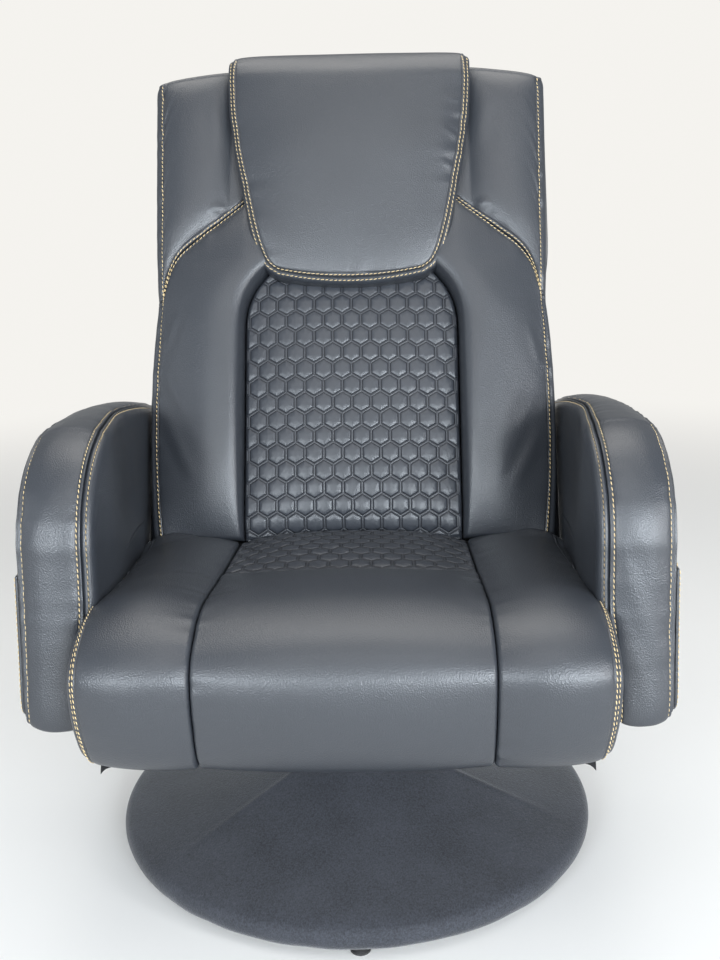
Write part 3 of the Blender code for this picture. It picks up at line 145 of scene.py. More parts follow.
def stretched(place, x, y, z):
    """The place with each of its directions scaled."""
    inputs = {"Vector": place, "Scale": (x, y, z)}
    return Wire.node(place.tree, "ShaderNodeMapping", {}, inputs)


def mottled(name, color, roughness, patches, gloss, low, high, **sockets):
    """A finish whose colour and roughness drift over soft patches."""
    finish, shader, place = begin_finish(name, color, roughness, **sockets)
    drift = clouds(place, *patches)
    feed(shader, Base_Color=tint(drift, low, high), Roughness=gloss[0] + gloss[1] * drift)
    return finish, shader, place


def powder_coat():
    finish, shader, place = mottled(
        "powder_coat", (0.020, 0.020, 0.022), 0.42, patches=(40, 4), gloss=(0.34, 0.16),
        low=(0.015, 0.015, 0.017), high=(0.026, 0.026, 0.029),
    )
    feed(shader, Normal=relief(clouds(place, 900, 2), 0.00012, 0.6))
    return finish


def dress(finish, *names):
    """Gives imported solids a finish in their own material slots."""
    for name in names:
        for slot in nodes[name].material_slots:
            slot.material = finish


def named(start):
    return [name for name in nodes if name.startswith(start)]


coated = powder_coat()
dress(coated, "base_ring", *named("base_leg_"), "base_hub", "post")


# Six glides under the ring: moulded black plastic with a matt, faintly dimpled skin, worn at the tread.
# Each is pressed up against the ring through the hem of the fabric cover.
def moulded_plastic():
    finish, shader, place = begin_finish("moulded_plastic", (0.016, 0.016, 0.017), 0.5)
    height = Wire.node(place.tree, "ShaderNodeSeparateXYZ", {}, {"Vector": place}, "Z")
    tread = 0.004
    worn = 1 - height / tread
    worn = worn.math("MAXIMUM", worn, 0.0)
    scuffs = worn * clouds(stretched(place, 1, 1, 0.2), 500, 3)
    feed(
        shader,
        Base_Color=tint(scuffs, (0.016, 0.016, 0.017), (0.10, 0.10, 0.10)),
        Roughness=0.46 + 0.3 * scuffs,
        Normal=relief(clouds(place, 1500, 1), 0.0001, 0.5),
    )
    return finish


dress(moulded_plastic(), *named("base_foot_"))


# Base cover: a round cap of black stretch fabric, drawn in round the post, lying on the three spokes
# and pulled down over the ring, where its hem turns under. The spokes show as ridges in it.
post_low, post_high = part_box("post")
AXIS_Y = (post_low.y + post_high.y) / 2
BASE_RADIUS = 0.2955
RING_TUBE_R = 0.0125
RING_Z = 0.0145 + RING_TUBE_R
SPOKES = 3
SPOKE_TURN = math.radians(-140)
FEET = 6
FOOT_TURN = math.radians(-88)
COVER_THICK = 0.0012
COVER_IN_R = 0.0246
COVER_SHOULDER_R = 0.0346


def placed(name, data):
    """A new object of the scene, which shows this mesh, light or camera."""
    made = bpy.data.objects.new(name, data)
    bpy.context.scene.collection.objects.link(made)
    return made


def made_piece(name, mesh, finish, body):
    """A piece of this mesh and finish, which rides on a body."""
    made = placed(name, mesh)
    mesh.materials.append(finish)
    mesh.shade_smooth()
    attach(made, body)
    return made


def mesh_of(name, points, faces, sharp=50):
    """A mesh from points about the post's axis, facing outwards, creased where it bends sharply."""
    mesh = bpy.data.meshes.new(name)
    points = np.asarray(points, float) + (0, AXIS_Y, 0)
    mesh.from_pydata(points.tolist(), [], faces)
    work = bmesh.new()
    work.from_mesh(mesh)
    bmesh.ops.recalc_face_normals(work, faces=work.faces)
    work.to_mesh(mesh)
    work.free()
    mesh.shade_smooth()
    mesh.set_sharp_from_angle(angle=math.radians(sharp))
    return mesh


def quads(rows, columns, first=0, wrap_rows=False, wrap_columns=False):
    """Faces between neighbours in a grid of points, which may close on itself either way."""
    index = first + np.arange(rows * columns).reshape(rows, columns)
    if wrap_rows:
        index = np.vstack([index, index[:1]])
    if wrap_columns:
        index = np.hstack([index, index[:, :1]])
    corners = (index[:-1, :-1], index[:-1, 1:], index[1:, 1:], index[1:, :-1])
    return np.stack(corners, axis=-1).reshape(-1, 4).tolist()


def wander(reach, pitch, seed):
    """A smooth random value from -1 to 1, which changes over this pitch."""
    place = np.asarray(reach, float) / pitch
    place = place - place.min()
    knots = np.random.default_rng(seed).uniform(-1, 1, int(place.max()) + 3)
    low = np.floor(place).astype(int)
    share = place - low
    share = share * share * (3 - 2 * share)
    return knots[low] * (1 - share) + knots[low + 1] * share


def bell(value, width):
    return np.exp(-((value / width) ** 2))


def mix(low, high, share):
    return low + (high - low) * share


def stretch_fabric():
    finish, shader, place = begin_finish(
        "stretch_fabric", (0.032, 0.034, 0.042), 0.85, Sheen_Weight=0.35, Sheen_Roughness=0.4
    )
    knit = clouds(stretched(place, 1, 0.6, 1), 620, 3)
    nap = clouds(place, 260, 3)
    wear = clouds(place, 14, 3)
    shade = 0.25 * wear + 0.25 * nap + 0.5 * knit
    feed(
        shader,
        Base_Color=tint((shade - 0.32) / 0.36, (0.011, 0.013, 0.017), (0.062, 0.067, 0.084)),
        Roughness=0.74 + 0.16 * nap,
        Normal=relief(knit * 0.7 + nap * 0.3, 0.0012, 0.8),
    )
    return finish


def base_cover():
    """The cover as one closed shell: a fabric's outer and inner face, joined at collar and hem."""
    around, slope_steps, wrap_steps = 420, 44, 22
    sag = 0.011
    ridge, ridge_width = 0.0013, 0.0045
    collar = 0.010
    slope = 0.2907
    at_shoulder = 0.1171
    hem_turn, hem_at_foot, foot_reach = -88, 30, 0.020
    ease = 0.0007
    pleat_turn, pleat, pleat_place, pleat_share = math.radians(-152), 0.0022, 0.78, 0.10
    angles = SPOKE_TURN + np.linspace(0, 2 * math.pi, around, endpoint=False)[:, None]
    turn = (angles - SPOKE_TURN) * SPOKES / (2 * math.pi) % 1
    away = 1 - np.abs(2 * turn - 1)
    crest_share = 0.02
    dip = np.sin(np.sqrt(away**2 + crest_share**2) * math.pi / 2) - crest_share
    share = np.linspace(0, 1, slope_steps)[None, :]
    rim_r = BASE_RADIUS - RING_TUBE_R * 0.6
    radius = mix(COVER_SHOULDER_R, rim_r, share)
    height = at_shoulder - (radius - COVER_SHOULDER_R) * slope
    over_spoke = bell(np.minimum(turn, 1 - turn) * 2 * math.pi / SPOKES * radius, ridge_width)
    height = height - (sag * dip - ridge * over_spoke) * np.sin(math.pi * share**0.8)
    ripple = wander(angles * BASE_RADIUS, 0.030, 4)
    near_foot = (angles - FOOT_TURN) * FEET / (2 * math.pi) % 1
    near_foot = np.minimum(near_foot, 1 - near_foot) * 2 * math.pi / FEET * BASE_RADIUS
    hem = np.radians(hem_turn + hem_at_foot * np.exp(-((near_foot / foot_reach) ** 4)))
    turns = mix(math.radians(78), hem, np.linspace(0, 1, wrap_steps)[None, 1:])
    under = np.clip(-turns / math.radians(60), 0, 1)
    lump = under * ease * (1 + ripple)
    shells = []
    for thick in (COVER_THICK, 0):
        reach = RING_TUBE_R + ease + thick + lump
        wrap_r = BASE_RADIUS + reach * np.cos(turns)
        wrap_z = RING_Z + reach * np.sin(turns)
        neck_r = np.broadcast_to(COVER_IN_R + thick + np.array([0, 0, 0.0014, 0.0045]), (around, 4))
        neck_z = at_shoulder + thick + np.array([collar, 0.005, 0.0022, 0.0004])
        neck_z = neck_z + 0.0006 * np.sin(angles * 48)
        r = np.hstack([neck_r, np.broadcast_to(radius, (around, slope_steps)), wrap_r])
        z = np.hstack([neck_z, height + thick, wrap_z])
        shells.append(np.stack([r * np.cos(angles), r * np.sin(angles), z], axis=-1))
    places = np.linspace(0, 1, shells[0].shape[1])[None, :]
    fold = pleat * bell((angles - pleat_turn) * BASE_RADIUS, 0.0022) * bell(places - pleat_place, pleat_share)
    shells[0][..., 2] += fold
    rings = np.concatenate([shells[0], shells[1][:, ::-1]], axis=1)
    faces = quads(around, rings.shape[1], wrap_rows=True, wrap_columns=True)
    return mesh_of("base_cover_cloth", rings.reshape(-1, 3), faces, 80)


cover = made_piece("base_cover_cloth", base_cover(), stretch_fabric(), "base")
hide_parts("base_cover")


# Swivel parts: nylon bushes and a washer in the top of the post, a zinc-plated spindle, and the coated
# plate whose ears carry the tilt pin. A bonded rubber sleeve round the pin springs the seat forward.
def zinc_plate():
    finish, shader, place = mottled(
        "zinc_plate", (0.55, 0.56, 0.58), 0.34, patches=(120, 4), gloss=(0.26, 0.2),
        low=(0.44, 0.46, 0.50), high=(0.64, 0.64, 0.62), Metallic=1.0,
    )
    feed(shader, Normal=relief(clouds(stretched(place, 1, 1, 6), 900, 2), 0.00005, 0.5))
    return finish


def natural_nylon():
    finish, _, _ = mottled(
        "natural_nylon", (0.72, 0.70, 0.64), 0.45, patches=(90, 3), gloss=(0.38, 0.15),
        low=(0.64, 0.62, 0.55), high=(0.78, 0.76, 0.71),
    )
    return finish


def black_rubber():
    finish, shader, place = mottled(
        "black_rubber", (0.018, 0.018, 0.018), 0.8, patches=(200, 4), gloss=(0.7, 0.2),
        low=(0.013, 0.013, 0.013), high=(0.030, 0.029, 0.028),
    )
    feed(shader, Normal=relief(clouds(place, 1200, 2), 0.0001, 0.6))
    return finish


zinc = zinc_plate()
dress(natural_nylon(), "post_bush_lower", "post_bush_upper")
dress(zinc, "thrust_washer", "swivel_spindle", "tilt_pin")
dress(coated, "swivel_plate")
dress(black_rubber(), "torsion_bush", "front_stop", "rear_buffer")


# Seat plate, brackets and bolts: flat steel with two ears, steel angles to the back and plates to the
# arms, all coated black and bolted up into the boards with zinc-plated button heads.
dress(coated, "seat_plate", *named("arm_bracket_"), *named("back_bracket_"))
dress(zinc, *named("seat_bolt_"), *named("arm_bolt_"), *named("back_bolt_"))


# Boards of the seat, back and arms: raw birch plywood, whose plies show on their edges.
# The pads are stapled to them.
def birch_plywood(name, across):
    """Plywood whose plies are stacked along this axis."""
    finish, shader, place = begin_finish(name, (0.44, 0.31, 0.19), 0.7)
    tree = place.tree
    depth = Wire.node(tree, "ShaderNodeSeparateXYZ", {}, {"Vector": place}, across)
    layers = depth * 2200.0
    ply = layers.math("SINE", layers)
    normal = Wire.node(tree, "ShaderNodeNewGeometry", {}, {}, "Normal")
    faces = abs(Wire.node(tree, "ShaderNodeSeparateXYZ", {}, {"Vector": normal}, across))
    edge = faces.math("LESS_THAN", faces, 0.5)
    grain = clouds(stretched(place, 4, 60, 60), 6, 5)
    shade = grain * 0.8 + edge * (0.35 * ply + 0.1)
    feed(
        shader,
        Base_Color=tint(shade, (0.30, 0.19, 0.105), (0.56, 0.42, 0.27)),
        Roughness=0.6 + 0.2 * grain,
        Normal=relief(grain, 0.0002, 0.5),
    )
    return finish


dress(birch_plywood("plywood_flat", "Z"), "seat_board")
dress(birch_plywood("plywood_upright", "Y"), "back_board")
dress(birch_plywood("plywood_side", "X"), *named("arm_board_"))


# Dust cover: thin black non-woven cloth, stapled flat under the seat. Its two front corners have come
# loose and hang down as small flaps.
DUST_HALF_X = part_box("dust_cover")[1].x
DUST_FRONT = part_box("dust_cover")[0].y - AXIS_Y
DUST_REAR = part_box("dust_cover")[1].y - AXIS_Y
DUST_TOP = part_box("dust_cover")[1].z
DUST_LOOSE = 0.045
DUST_DROP = 0.026


def dust_cloth():
    finish, shader, place = begin_finish("dust_cloth", (0.011, 0.011, 0.012), 0.95)
    felt = clouds(place, 700, 4)
    dots = cells(place, 330)
    feed(
        shader,
        Base_Color=tint(felt, (0.007, 0.007, 0.008), (0.022, 0.022, 0.024)),
        Normal=relief(felt * 0.5 + dots * 0.5, 0.0004, 0.8),
    )
    return finish


def rim_of(rows, columns):
    """The grid places on a grid's rim, once round."""
    first = [(0, c) for c in range(columns)] + [(r, columns - 1) for r in range(1, rows)]
    back = [(rows - 1, c) for c in range(columns - 2, -1, -1)] + [(r, 0) for r in range(rows - 2, 0, -1)]
    return first + back


def closed_pad(name, outer, inner, rings=(), side=1, stride=10):
    """A closed body: a fine grid of points on its shown side, rings round its rim, and a grid behind it, of
    which every few points are used. Side -1 mirrors it to the chair's left."""
    rows, columns = outer.shape[:2]
    picks = [sorted({*range(0, n, stride), n - 1}) for n in (rows, columns)]
    coarse = inner[np.ix_(*picks)]
    points = [outer.reshape(-1, 3), *rings, coarse.reshape(-1, 3)]
    faces = quads(rows, columns)
    rim = rim_of(rows, columns)
    last = [r * columns + c for r, c in rim]
    for k in range(len(rings)):
        ring = [rows * columns + k * len(rim) + i for i in range(len(rim))]
        pairs = zip(last, last[1:] + last[:1], ring[1:] + ring[:1], ring)
        faces += [list(pair) for pair in pairs]
        last = ring
    first = rows * columns + len(rings) * len(rim)
    faces += quads(len(picks[0]), len(picks[1]), first)
    place = {spot: i for i, spot in enumerate(rim)}
    coarse_rim = rim_of(len(picks[0]), len(picks[1]))
    spots = [place[picks[0][r], picks[1][c]] for r, c in coarse_rim] + [len(rim)]
    for k, (r, c) in enumerate(coarse_rim):
        next_r, next_c = coarse_rim[(k + 1) % len(coarse_rim)]
        edge = [last[i % len(rim)] for i in range(spots[k], spots[k + 1] + 1)]
        turn_back = [first + next_r * len(picks[1]) + next_c, first + r * len(picks[1]) + c]
        faces.append(edge + turn_back)
    return mesh_of(name, np.concatenate(points) * (side, 1, 1), faces)


def dust_cover():
    thick, curl_size, pull_size = 0.0008, 0.003, 0.003
    x = np.linspace(-DUST_HALF_X, DUST_HALF_X, 150)[None, :]
    loose_end = DUST_FRONT + DUST_LOOSE
    fine = np.linspace(DUST_FRONT, loose_end, 26)[:-1]
    y = np.concatenate([fine, np.linspace(loose_end, DUST_REAR, 60)])[:, None]
    past = 1 - (DUST_HALF_X - np.abs(x) + y - DUST_FRONT) / DUST_LOOSE
    hang = np.clip(past, 0, 1) ** 1.4
    curl = curl_size * np.sin(9 * past) * np.clip(past, 0, 1)
    pull = pull_size * hang
    layers = []
    for level in (DUST_TOP, DUST_TOP - thick):
        z = level - DUST_DROP * hang + curl
        layers.append(np.stack([x - np.sign(x) * pull + 0 * y, y + pull + 0 * x, z], axis=-1))
    return closed_pad("dust_cover_cloth", *layers, stride=1)


dust = made_piece("dust_cover_cloth", dust_cover(), dust_cloth(), "seat")
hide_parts("dust_cover")


# Seat: a smooth cushion with a waterfall front between two bolsters, and a quilted strip at its rear.
# Charcoal PU leather is cut in panels, sewn, and pulled over moulded foam. The seams beside the bolsters
# are plain. The outer ones are topstitched in gold thread on both sides of the seam.
BACK_FOOT = (0.086, 0.368)
LEAN = math.radians(24)
SEAT_SEAM_X = 0.155
SEAT_EDGE_X = 0.275
SEAT_REAR_TOP = 0.362
SEAT_QUILT = (-0.093, 0.3796)
SEAT_CREST = (-0.235, 0.396)
BOARD_TOP = 0.2640
BOARD_FRONT = -0.2630
UNDER_Z = 0.2518
HEX_PITCH = 0.0261
ROW = 0.004
STITCH_PITCH = 0.0062


def lean_y(depth, z):
    """Where the leaning back is at this height, so deep behind its front."""
    return BACK_FOOT[0] + (z - BACK_FOOT[1]) * math.tan(LEAN) + depth / math.cos(LEAN)


def arc(centre, size, start, end, steps):
    turns = np.radians(np.linspace(start, end, steps + 1))
    return np.stack([centre[0] + size[0] * np.cos(turns), centre[1] + size[1] * np.sin(turns)], -1)


def smooth_path(points, steps=24):
    """A smooth curve through points, as closely spaced ones."""
    points = np.asarray(points, float)
    ends = np.vstack([2 * points[0] - points[1], points, 2 * points[-1] - points[-2]])
    t = np.linspace(0, 1, steps, endpoint=False)[:, None]
    runs = []
    for a, b, c, d in zip(ends, ends[1:], ends[2:], ends[3:]):
        run = 2 * b + (c - a) * t + (2 * a - 5 * b + 4 * c - d) * t**2 + (3 * b - a - 3 * c + d) * t**3
        runs.append(run / 2)
    return np.vstack([*runs, points[-1:]])


def reach_of(path):
    """How far along a path each of its points is."""
    return np.r_[0, np.cumsum(np.linalg.norm(np.diff(path, axis=0), axis=1))]


def along(path, places):
    reach = reach_of(path)
    return np.stack([np.interp(places, reach, path[:, k]) for k in range(path.shape[1])], -1)


def spaced(length, low=0.012, high=0.012, fine=0.0006, coarse=0.0028):
    """Places along a length, close together within reach of the seams at its two ends."""
    middle = max(2, math.ceil((length - low - high) / coarse))
    near = fine * np.arange(round(low / fine))
    far = length - fine * np.arange(round(high / fine))[::-1]
    between = np.linspace(low, length - high, middle + 1)
    return np.concatenate([near, between[:-1] if high else between, far])


def unit(vectors):
    return vectors / np.maximum(np.linalg.norm(vectors, axis=-1, keepdims=True), 1e-12)


def normals_of(points, toward):
    """The unit normals of a grid of points, on the side of it that mostly faces this way."""
    normal = unit(np.cross(np.gradient(points, axis=0), np.gradient(points, axis=1)))
    return normal * np.sign(np.sum(normal * toward))


def reaches(points):
    """For each grid point its distance from the first and last column, and the first and last row."""
    found = []
    for axis in (1, 0):
        steps = np.linalg.norm(np.diff(points, axis=axis), axis=-1)
        zero = np.zeros_like(np.take(steps, [0], axis=axis))
        reach = np.concatenate([zero, np.cumsum(steps, axis=axis)], axis=axis)
        found += [reach, np.take(reach, [-1], axis=axis) - reach]
    return found


def swell(share, power=2.5):
    return 1 - np.abs(2 * share - 1) ** power


def rolled(width, depth):
    """A plain seam: the panel rolls down into it."""
    return lambda d: -depth * (1 - np.sqrt(1 - np.clip(1 - d / width, 0, 1) ** 2))


def topstitched(row=ROW, depth=0.0035):
    """A seam whose allowance is stitched down flat beside it: a groove, a low band and the row's trough."""
    groove, band, fade, trough, thread_width = 0.0018, 0.0012, 0.004, 0.0007, 0.0008
    fall = rolled(groove, depth)

    def offset(d):
        past = np.maximum(d - row, 0)
        return fall(d) - band * np.exp(-past / fade) - trough * bell(d - row, thread_width)

    return offset


def puckered(place, d, size, reach, pitch, seed):
    """Short folds that run into a seam and die out away from it."""
    return size * np.exp(-np.maximum(d, 0) / reach) * wander(place, pitch, seed)


def creases(x, y, *lines):
    """Soft folds along lines: each is its two ends, its height and its width."""
    total = 0 * x * y
    for ax, ay, bx, by, height, width in lines:
        length = math.hypot(bx - ax, by - ay)
        run = ((x - ax) * (bx - ax) + (y - ay) * (by - ay)) / length**2
        side = ((x - ax) * (by - ay) - (y - ay) * (bx - ax)) / length
        fade = np.clip(1 - np.abs(2 * run - 1) ** 2, 0, 1)
        total = total + height * fade * (bell(side, width) - 0.6 * bell(side - 1.7 * width, width))
    return total


def spread(places, count):
    """Weights that carry values from evenly numbered points to places between them, smoothly."""
    low = np.clip(np.floor(places).astype(int), 0, count - 2)
    t = places - low
    parts = (
        (-t + 2 * t**2 - t**3) / 2,
        (2 - 5 * t**2 + 3 * t**3) / 2,
        (t + 4 * t**2 - 3 * t**3) / 2,
        (t**3 - t**2) / 2,
    )
    weights = np.zeros((len(places), count))
    for k, part in enumerate(parts):
        np.add.at(weights, (np.arange(len(places)), np.clip(low + k - 1, 0, count - 1)), part)
    return weights


def stuffed_lift(points, face, cap=0.006, spare=0.0005, pitch=0.007):
    """How far the foam pushes a pad's cover out along its normals: a coarse cloth with some spare width,
    held at its border and blown up from below, then spread onto the fine grid."""
    reach_c, _, reach_r, _ = reaches(points)
    places = []
    for reach in (reach_r.mean(axis=1), reach_c.mean(axis=0)):
        count = max(8, round(reach[-1] / pitch))
        places.append((count, reach / reach[-1] * (count - 1)))
    (rows, row_places), (columns, column_places) = places
    picks = [np.interp(np.arange(n), p, np.arange(len(p))) for n, p in places]
    down, across = (spread(pick, size) for pick, size in zip(picks, points.shape[:2]))
    start = np.einsum("ai,bj,ijk->abk", down, across, points)
    drawn = np.cross(np.gradient(points, axis=1), np.gradient(points, axis=0))
    flip = np.sum(drawn * face) < 0
    if flip:
        start = start[:, ::-1]
    mesh = bpy.data.meshes.new("trial")
    mesh.from_pydata(start.reshape(-1, 3).tolist(), [], quads(rows, columns))
    trial = placed("trial", mesh)
    border = np.ones((rows, columns), bool)
    border[1:-1, 1:-1] = False
    held = trial.vertex_groups.new(name="held")
    held.add(np.flatnonzero(border.ravel()).tolist(), 1.0, "REPLACE")
    cloth = trial.modifiers.new("cloth", "CLOTH")
    leather_cloth = {
        "quality": 5, "mass": 0.3, "tension_stiffness": 25, "compression_stiffness": 10,
        "shear_stiffness": 6, "bending_stiffness": 6.0, "shrink_min": -spare, "use_pressure": True,
        "uniform_pressure_force": 4, "vertex_group_mass": "held",
    }
    for key, value in leather_cloth.items():
        setattr(cloth.settings, key, value)
    cloth.settings.effector_weights.gravity = 0
    frames = 20
    cloth.point_cache.frame_start, cloth.point_cache.frame_end = 1, frames
    scene = bpy.context.scene
    for number in range(1, frames + 1):
        scene.frame_set(number)
    shaped = trial.evaluated_get(bpy.context.evaluated_depsgraph_get())
    moved = np.empty(rows * columns * 3, np.float32)
    shaped.data.vertices.foreach_get("co", moved)
    push = moved.reshape(rows, columns, 3) - start
    bpy.data.objects.remove(trial)
    scene.frame_set(1)
    if flip:
        push = push[:, ::-1]
    size = np.linalg.norm(push, axis=-1, keepdims=True)
    push = push * np.minimum(1, cap / np.maximum(size, 1e-9))
    weights = spread(row_places, rows), spread(column_places, columns)
    return np.sum(np.einsum("ia,jb,abk->ijk", *weights, push) * face, axis=-1)


def rim_rings(outer, inner, outward, profile=None, turn_steps=8, wall_steps=10):
    """Rings that take a pad's rim outwards in a quarter round, and then down to its inner side. Also which
    way the rings of the quarter round face."""
    rows, columns = zip(*rim_of(*outer.shape[:2]))
    start, end, out = outer[rows, columns], inner[rows, columns], outward[rows, columns]
    radius = np.linalg.norm(out, axis=-1, keepdims=True)
    down = unit(end - start)
    side = out / np.maximum(radius, 1e-9)
    rings, facings = [], []
    for turn in np.radians(np.linspace(0, 90, turn_steps + 1))[1:]:
        lift = profile(radius * turn) - profile(radius * 0) * (radius < 1e-6) if profile else 0
        facing = side * math.sin(turn) - down * math.cos(turn)
        facings.append(facing)
        rings.append(start + radius * (side * math.sin(turn) + down * (1 - math.cos(turn))) + facing * lift)
    for share in np.linspace(0, 1, wall_steps + 1)[1:-1]:
        rings.append(mix(rings[turn_steps - 1], end + out, share))
    return rings, facings


def charcoal_leather():
    """PU leather with a pebbled grain, which shows where light grazes it."""
    finish, shader, place = begin_finish(
        "charcoal_leather", (0.034, 0.039, 0.049), 0.36, Specular_IOR_Level=0.8
    )
    pebble = cells(place, 660)
    fine = clouds(place, 1400, 2)
    drift = clouds(place, 9, 3)
    shade = 0.6 * drift + 0.4 * pebble
    feed(
        shader,
        Base_Color=tint(shade, (0.026, 0.030, 0.038), (0.038, 0.043, 0.052)),
        Roughness=0.27 + 0.08 * drift + 0.06 * fine,
        Normal=relief(0.9 * pebble + 0.3 * fine, 0.00042, 0.6),
    )
    return finish


def gold_thread():
    finish, shader, place = begin_finish("gold_thread", (0.66, 0.49, 0.23), 0.6, Sheen_Weight=0.3)
    twist = clouds(place, 2500, 1)
    feed(
        shader,
        Base_Color=tint(twist, (0.50, 0.35, 0.15), (0.86, 0.68, 0.38)),
        Normal=relief(twist, 0.0003, 0.6),
    )
    return finish


def stitch_tree(thread):
    """Geometry Nodes that set small slanted stitches along paths, out of the leather that they lie on."""
    tree = bpy.data.node_groups.new("stitch_rows", "GeometryNodeTree")
    face = tree.interface
    face.new_socket("Paths", in_out="INPUT", socket_type="NodeSocketGeometry")
    sizes = ("Pitch", "Length", "Width", "Height", "Slant")
    sockets = {n: face.new_socket(n, in_out="INPUT", socket_type="NodeSocketFloat") for n in sizes}
    face.new_socket("Stitches", in_out="OUTPUT", socket_type="NodeSocketGeometry")
    given = tree.nodes.new("NodeGroupInput")
    value = {name: Wire(tree, given.outputs[name]) for name in ("Paths", *sizes)}
    node = lambda *rest, **more: Wire.node(tree, *rest, **more)
    curve = node("GeometryNodeMeshToCurve", {}, {"Mesh": value["Paths"]})
    even = {"Curve": curve, "Length": value["Pitch"]}
    curve = node("GeometryNodeResampleCurve", {"mode": "LENGTH"}, even)
    tangent = node("GeometryNodeInputTangent")
    facing = node("GeometryNodeInputNamedAttribute", {"data_type": "FLOAT_VECTOR"}, {"Name": "facing"})
    turn = node("FunctionNodeAlignRotationToVector", {"axis": "X"}, {"Vector": tangent})
    turned = {"Rotation": turn, "Vector": facing}
    turn = node("FunctionNodeAlignRotationToVector", {"axis": "Z", "pivot_axis": "X"}, turned)
    ball = node("GeometryNodeMeshUVSphere", {}, {"Segments": 8, "Rings": 4, "Radius": 0.5})
    vary = node("FunctionNodeRandomValue", {"data_type": "FLOAT"}, {2: 0.9, 3: 1.1, "Seed": 3}, 1)
    sides = {"X": value["Length"] * vary, "Y": value["Width"], "Z": value["Height"]}
    size = node("ShaderNodeCombineXYZ", {}, sides)
    spots = {"Points": curve, "Instance": ball, "Rotation": turn, "Scale": size}
    laid = node("GeometryNodeInstanceOnPoints", {}, spots)
    slant = node("ShaderNodeCombineXYZ", {}, {"Z": value["Slant"]})
    laid = node("GeometryNodeRotateInstances", {}, {"Instances": laid, "Rotation": slant})
    solid = node("GeometryNodeRealizeInstances", {}, {"Geometry": laid})
    done = node("GeometryNodeSetMaterial", {}, {"Geometry": solid, "Material": thread})
    tree.links.new(done.socket, tree.nodes.new("NodeGroupOutput").inputs[0])
    return tree, {name: socket.identifier for name, socket in sockets.items()}


leather = charcoal_leather()
thread = gold_thread()
stitch_rows, stitch_ids = stitch_tree(thread)


def solid_from(made, tree, settings):
    """The plain mesh that a node tree makes of an object."""
    step = made.modifiers.new("shape", "NODES")
    step.node_group = tree
    for identifier, value in settings.items():
        step[identifier] = value
    shaped = made.evaluated_get(bpy.context.evaluated_depsgraph_get())
    mesh = bpy.data.meshes.new_from_object(shaped)
    made.modifiers.remove(step)
    mesh.name = made.name
    made.data = mesh
    mesh.shade_smooth()


def stitches(name, paths, slant=0.22):
    """One body of gold stitches along rows, each of which is its points and their normals."""
    mesh = bpy.data.meshes.new(name + "_paths")
    points, normals, edges = [], [], []
    for path, normal in paths:
        edges += [(len(points) + i, len(points) + i + 1) for i in range(len(path) - 1)]
        points += (path + (0, AXIS_Y, 0)).tolist()
        normals += normal.tolist()
    mesh.from_pydata(points, edges, [])
    facing = mesh.attributes.new("facing", "FLOAT_VECTOR", "POINT")
    facing.data.foreach_set("vector", np.ravel(normals))
    made = placed(name, mesh)
    sizes = {"Pitch": STITCH_PITCH, "Length": 0.0052, "Width": 0.0013, "Height": 0.0011, "Slant": slant}
    solid_from(made, stitch_rows, {stitch_ids[key]: value for key, value in sizes.items()})
    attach(made, "seat")


def row_beside(points, normals, side, distance, start=0.0, end=1.0, lift=0.0002):
    """The line that keeps this distance from one side of a grid, from one share of it to another."""
    reach = reaches(points)[("first", "last", "foot", "head").index(side)]
    if side in ("foot", "head"):
        reach, points, normals = reach.T, points.swapaxes(0, 1), normals.swapaxes(0, 1)
    rows = range(round(start * (len(points) - 1)), round(end * (len(points) - 1)) + 1)
    path, facing = [], []
    for r in rows:
        order = np.argsort(reach[r])
        for found, values in ((path, points[r]), (facing, normals[r])):
            found.append([np.interp(distance, reach[r][order], values[order, k]) for k in range(3)])
    path, facing = np.array(path), np.array(facing)
    return path + facing * lift, facing


def soft_piece(name, mesh, replaced=None):
    """A padded leather piece on the seat's body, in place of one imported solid: of its own name, or this."""
    made = made_piece(name, mesh, leather, "seat")
    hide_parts(replaced or name.replace("_leather", ""))


def pair(make, start):
    """Makes the right-hand and the left-hand piece, and gives the rows of stitches of both."""
    return make(1, start + "_right_leather") + make(-1, start + "_left_leather")


def mirrored(side, rows):
    """Rows of stitches on this side of the chair: 1 for the right and -1 for the left."""
    flip = np.array((side, 1, 1))
    return [(points * flip, normal * flip) for points, normal in rows]


NOSE_Z = SEAT_CREST[1] - 0.053
NOSE_REACH = 0.103
NOSE_DROP = 0.099
SEAM_GAP = 0.0004
TOP_CHAIN = [SEAT_QUILT] + [
    (mix(SEAT_QUILT[0], SEAT_CREST[0], s), mix(SEAT_QUILT[1], SEAT_CREST[1], s)) for s in (0.3, 0.65)
]
NOSE = [
    *arc((SEAT_CREST[0], NOSE_Z), (NOSE_REACH, SEAT_CREST[1] - NOSE_Z), 90, 180, 5),
    *arc((-0.300, NOSE_Z), (0.038, NOSE_DROP), 180, 262, 4)[1:],
    (-0.2975, 0.2465), (-0.2870, 0.2515), (-0.2665, UNDER_Z),
]
FRONT_PATH = smooth_path([*TOP_CHAIN, *NOSE])
SIDE_PATH = smooth_path([(lean_y(-0.0005, SEAT_REAR_TOP), SEAT_REAR_TOP), *TOP_CHAIN, *NOSE])
CORE_FOOT = 0.2528


def core_path(path, rear):
    """Points on the board's side of a cushion, one for each point of its cover."""
    share = reach_of(path) / reach_of(path)[-1]
    ahead = path[:, 0].clip(BOARD_FRONT, rear)
    turn = np.argmax(path[:, 0] < BOARD_FRONT)
    drop = np.clip((share - share[turn]) / (1 - share[turn]), 0, 1)
    return np.stack([ahead, mix(BOARD_TOP, CORE_FOOT, drop)], -1)


def below_nose(z):
    """From 0 at the nose's foremost point to 1 at its foot."""
    return np.clip((NOSE_Z - z) / NOSE_DROP, 0, 1)


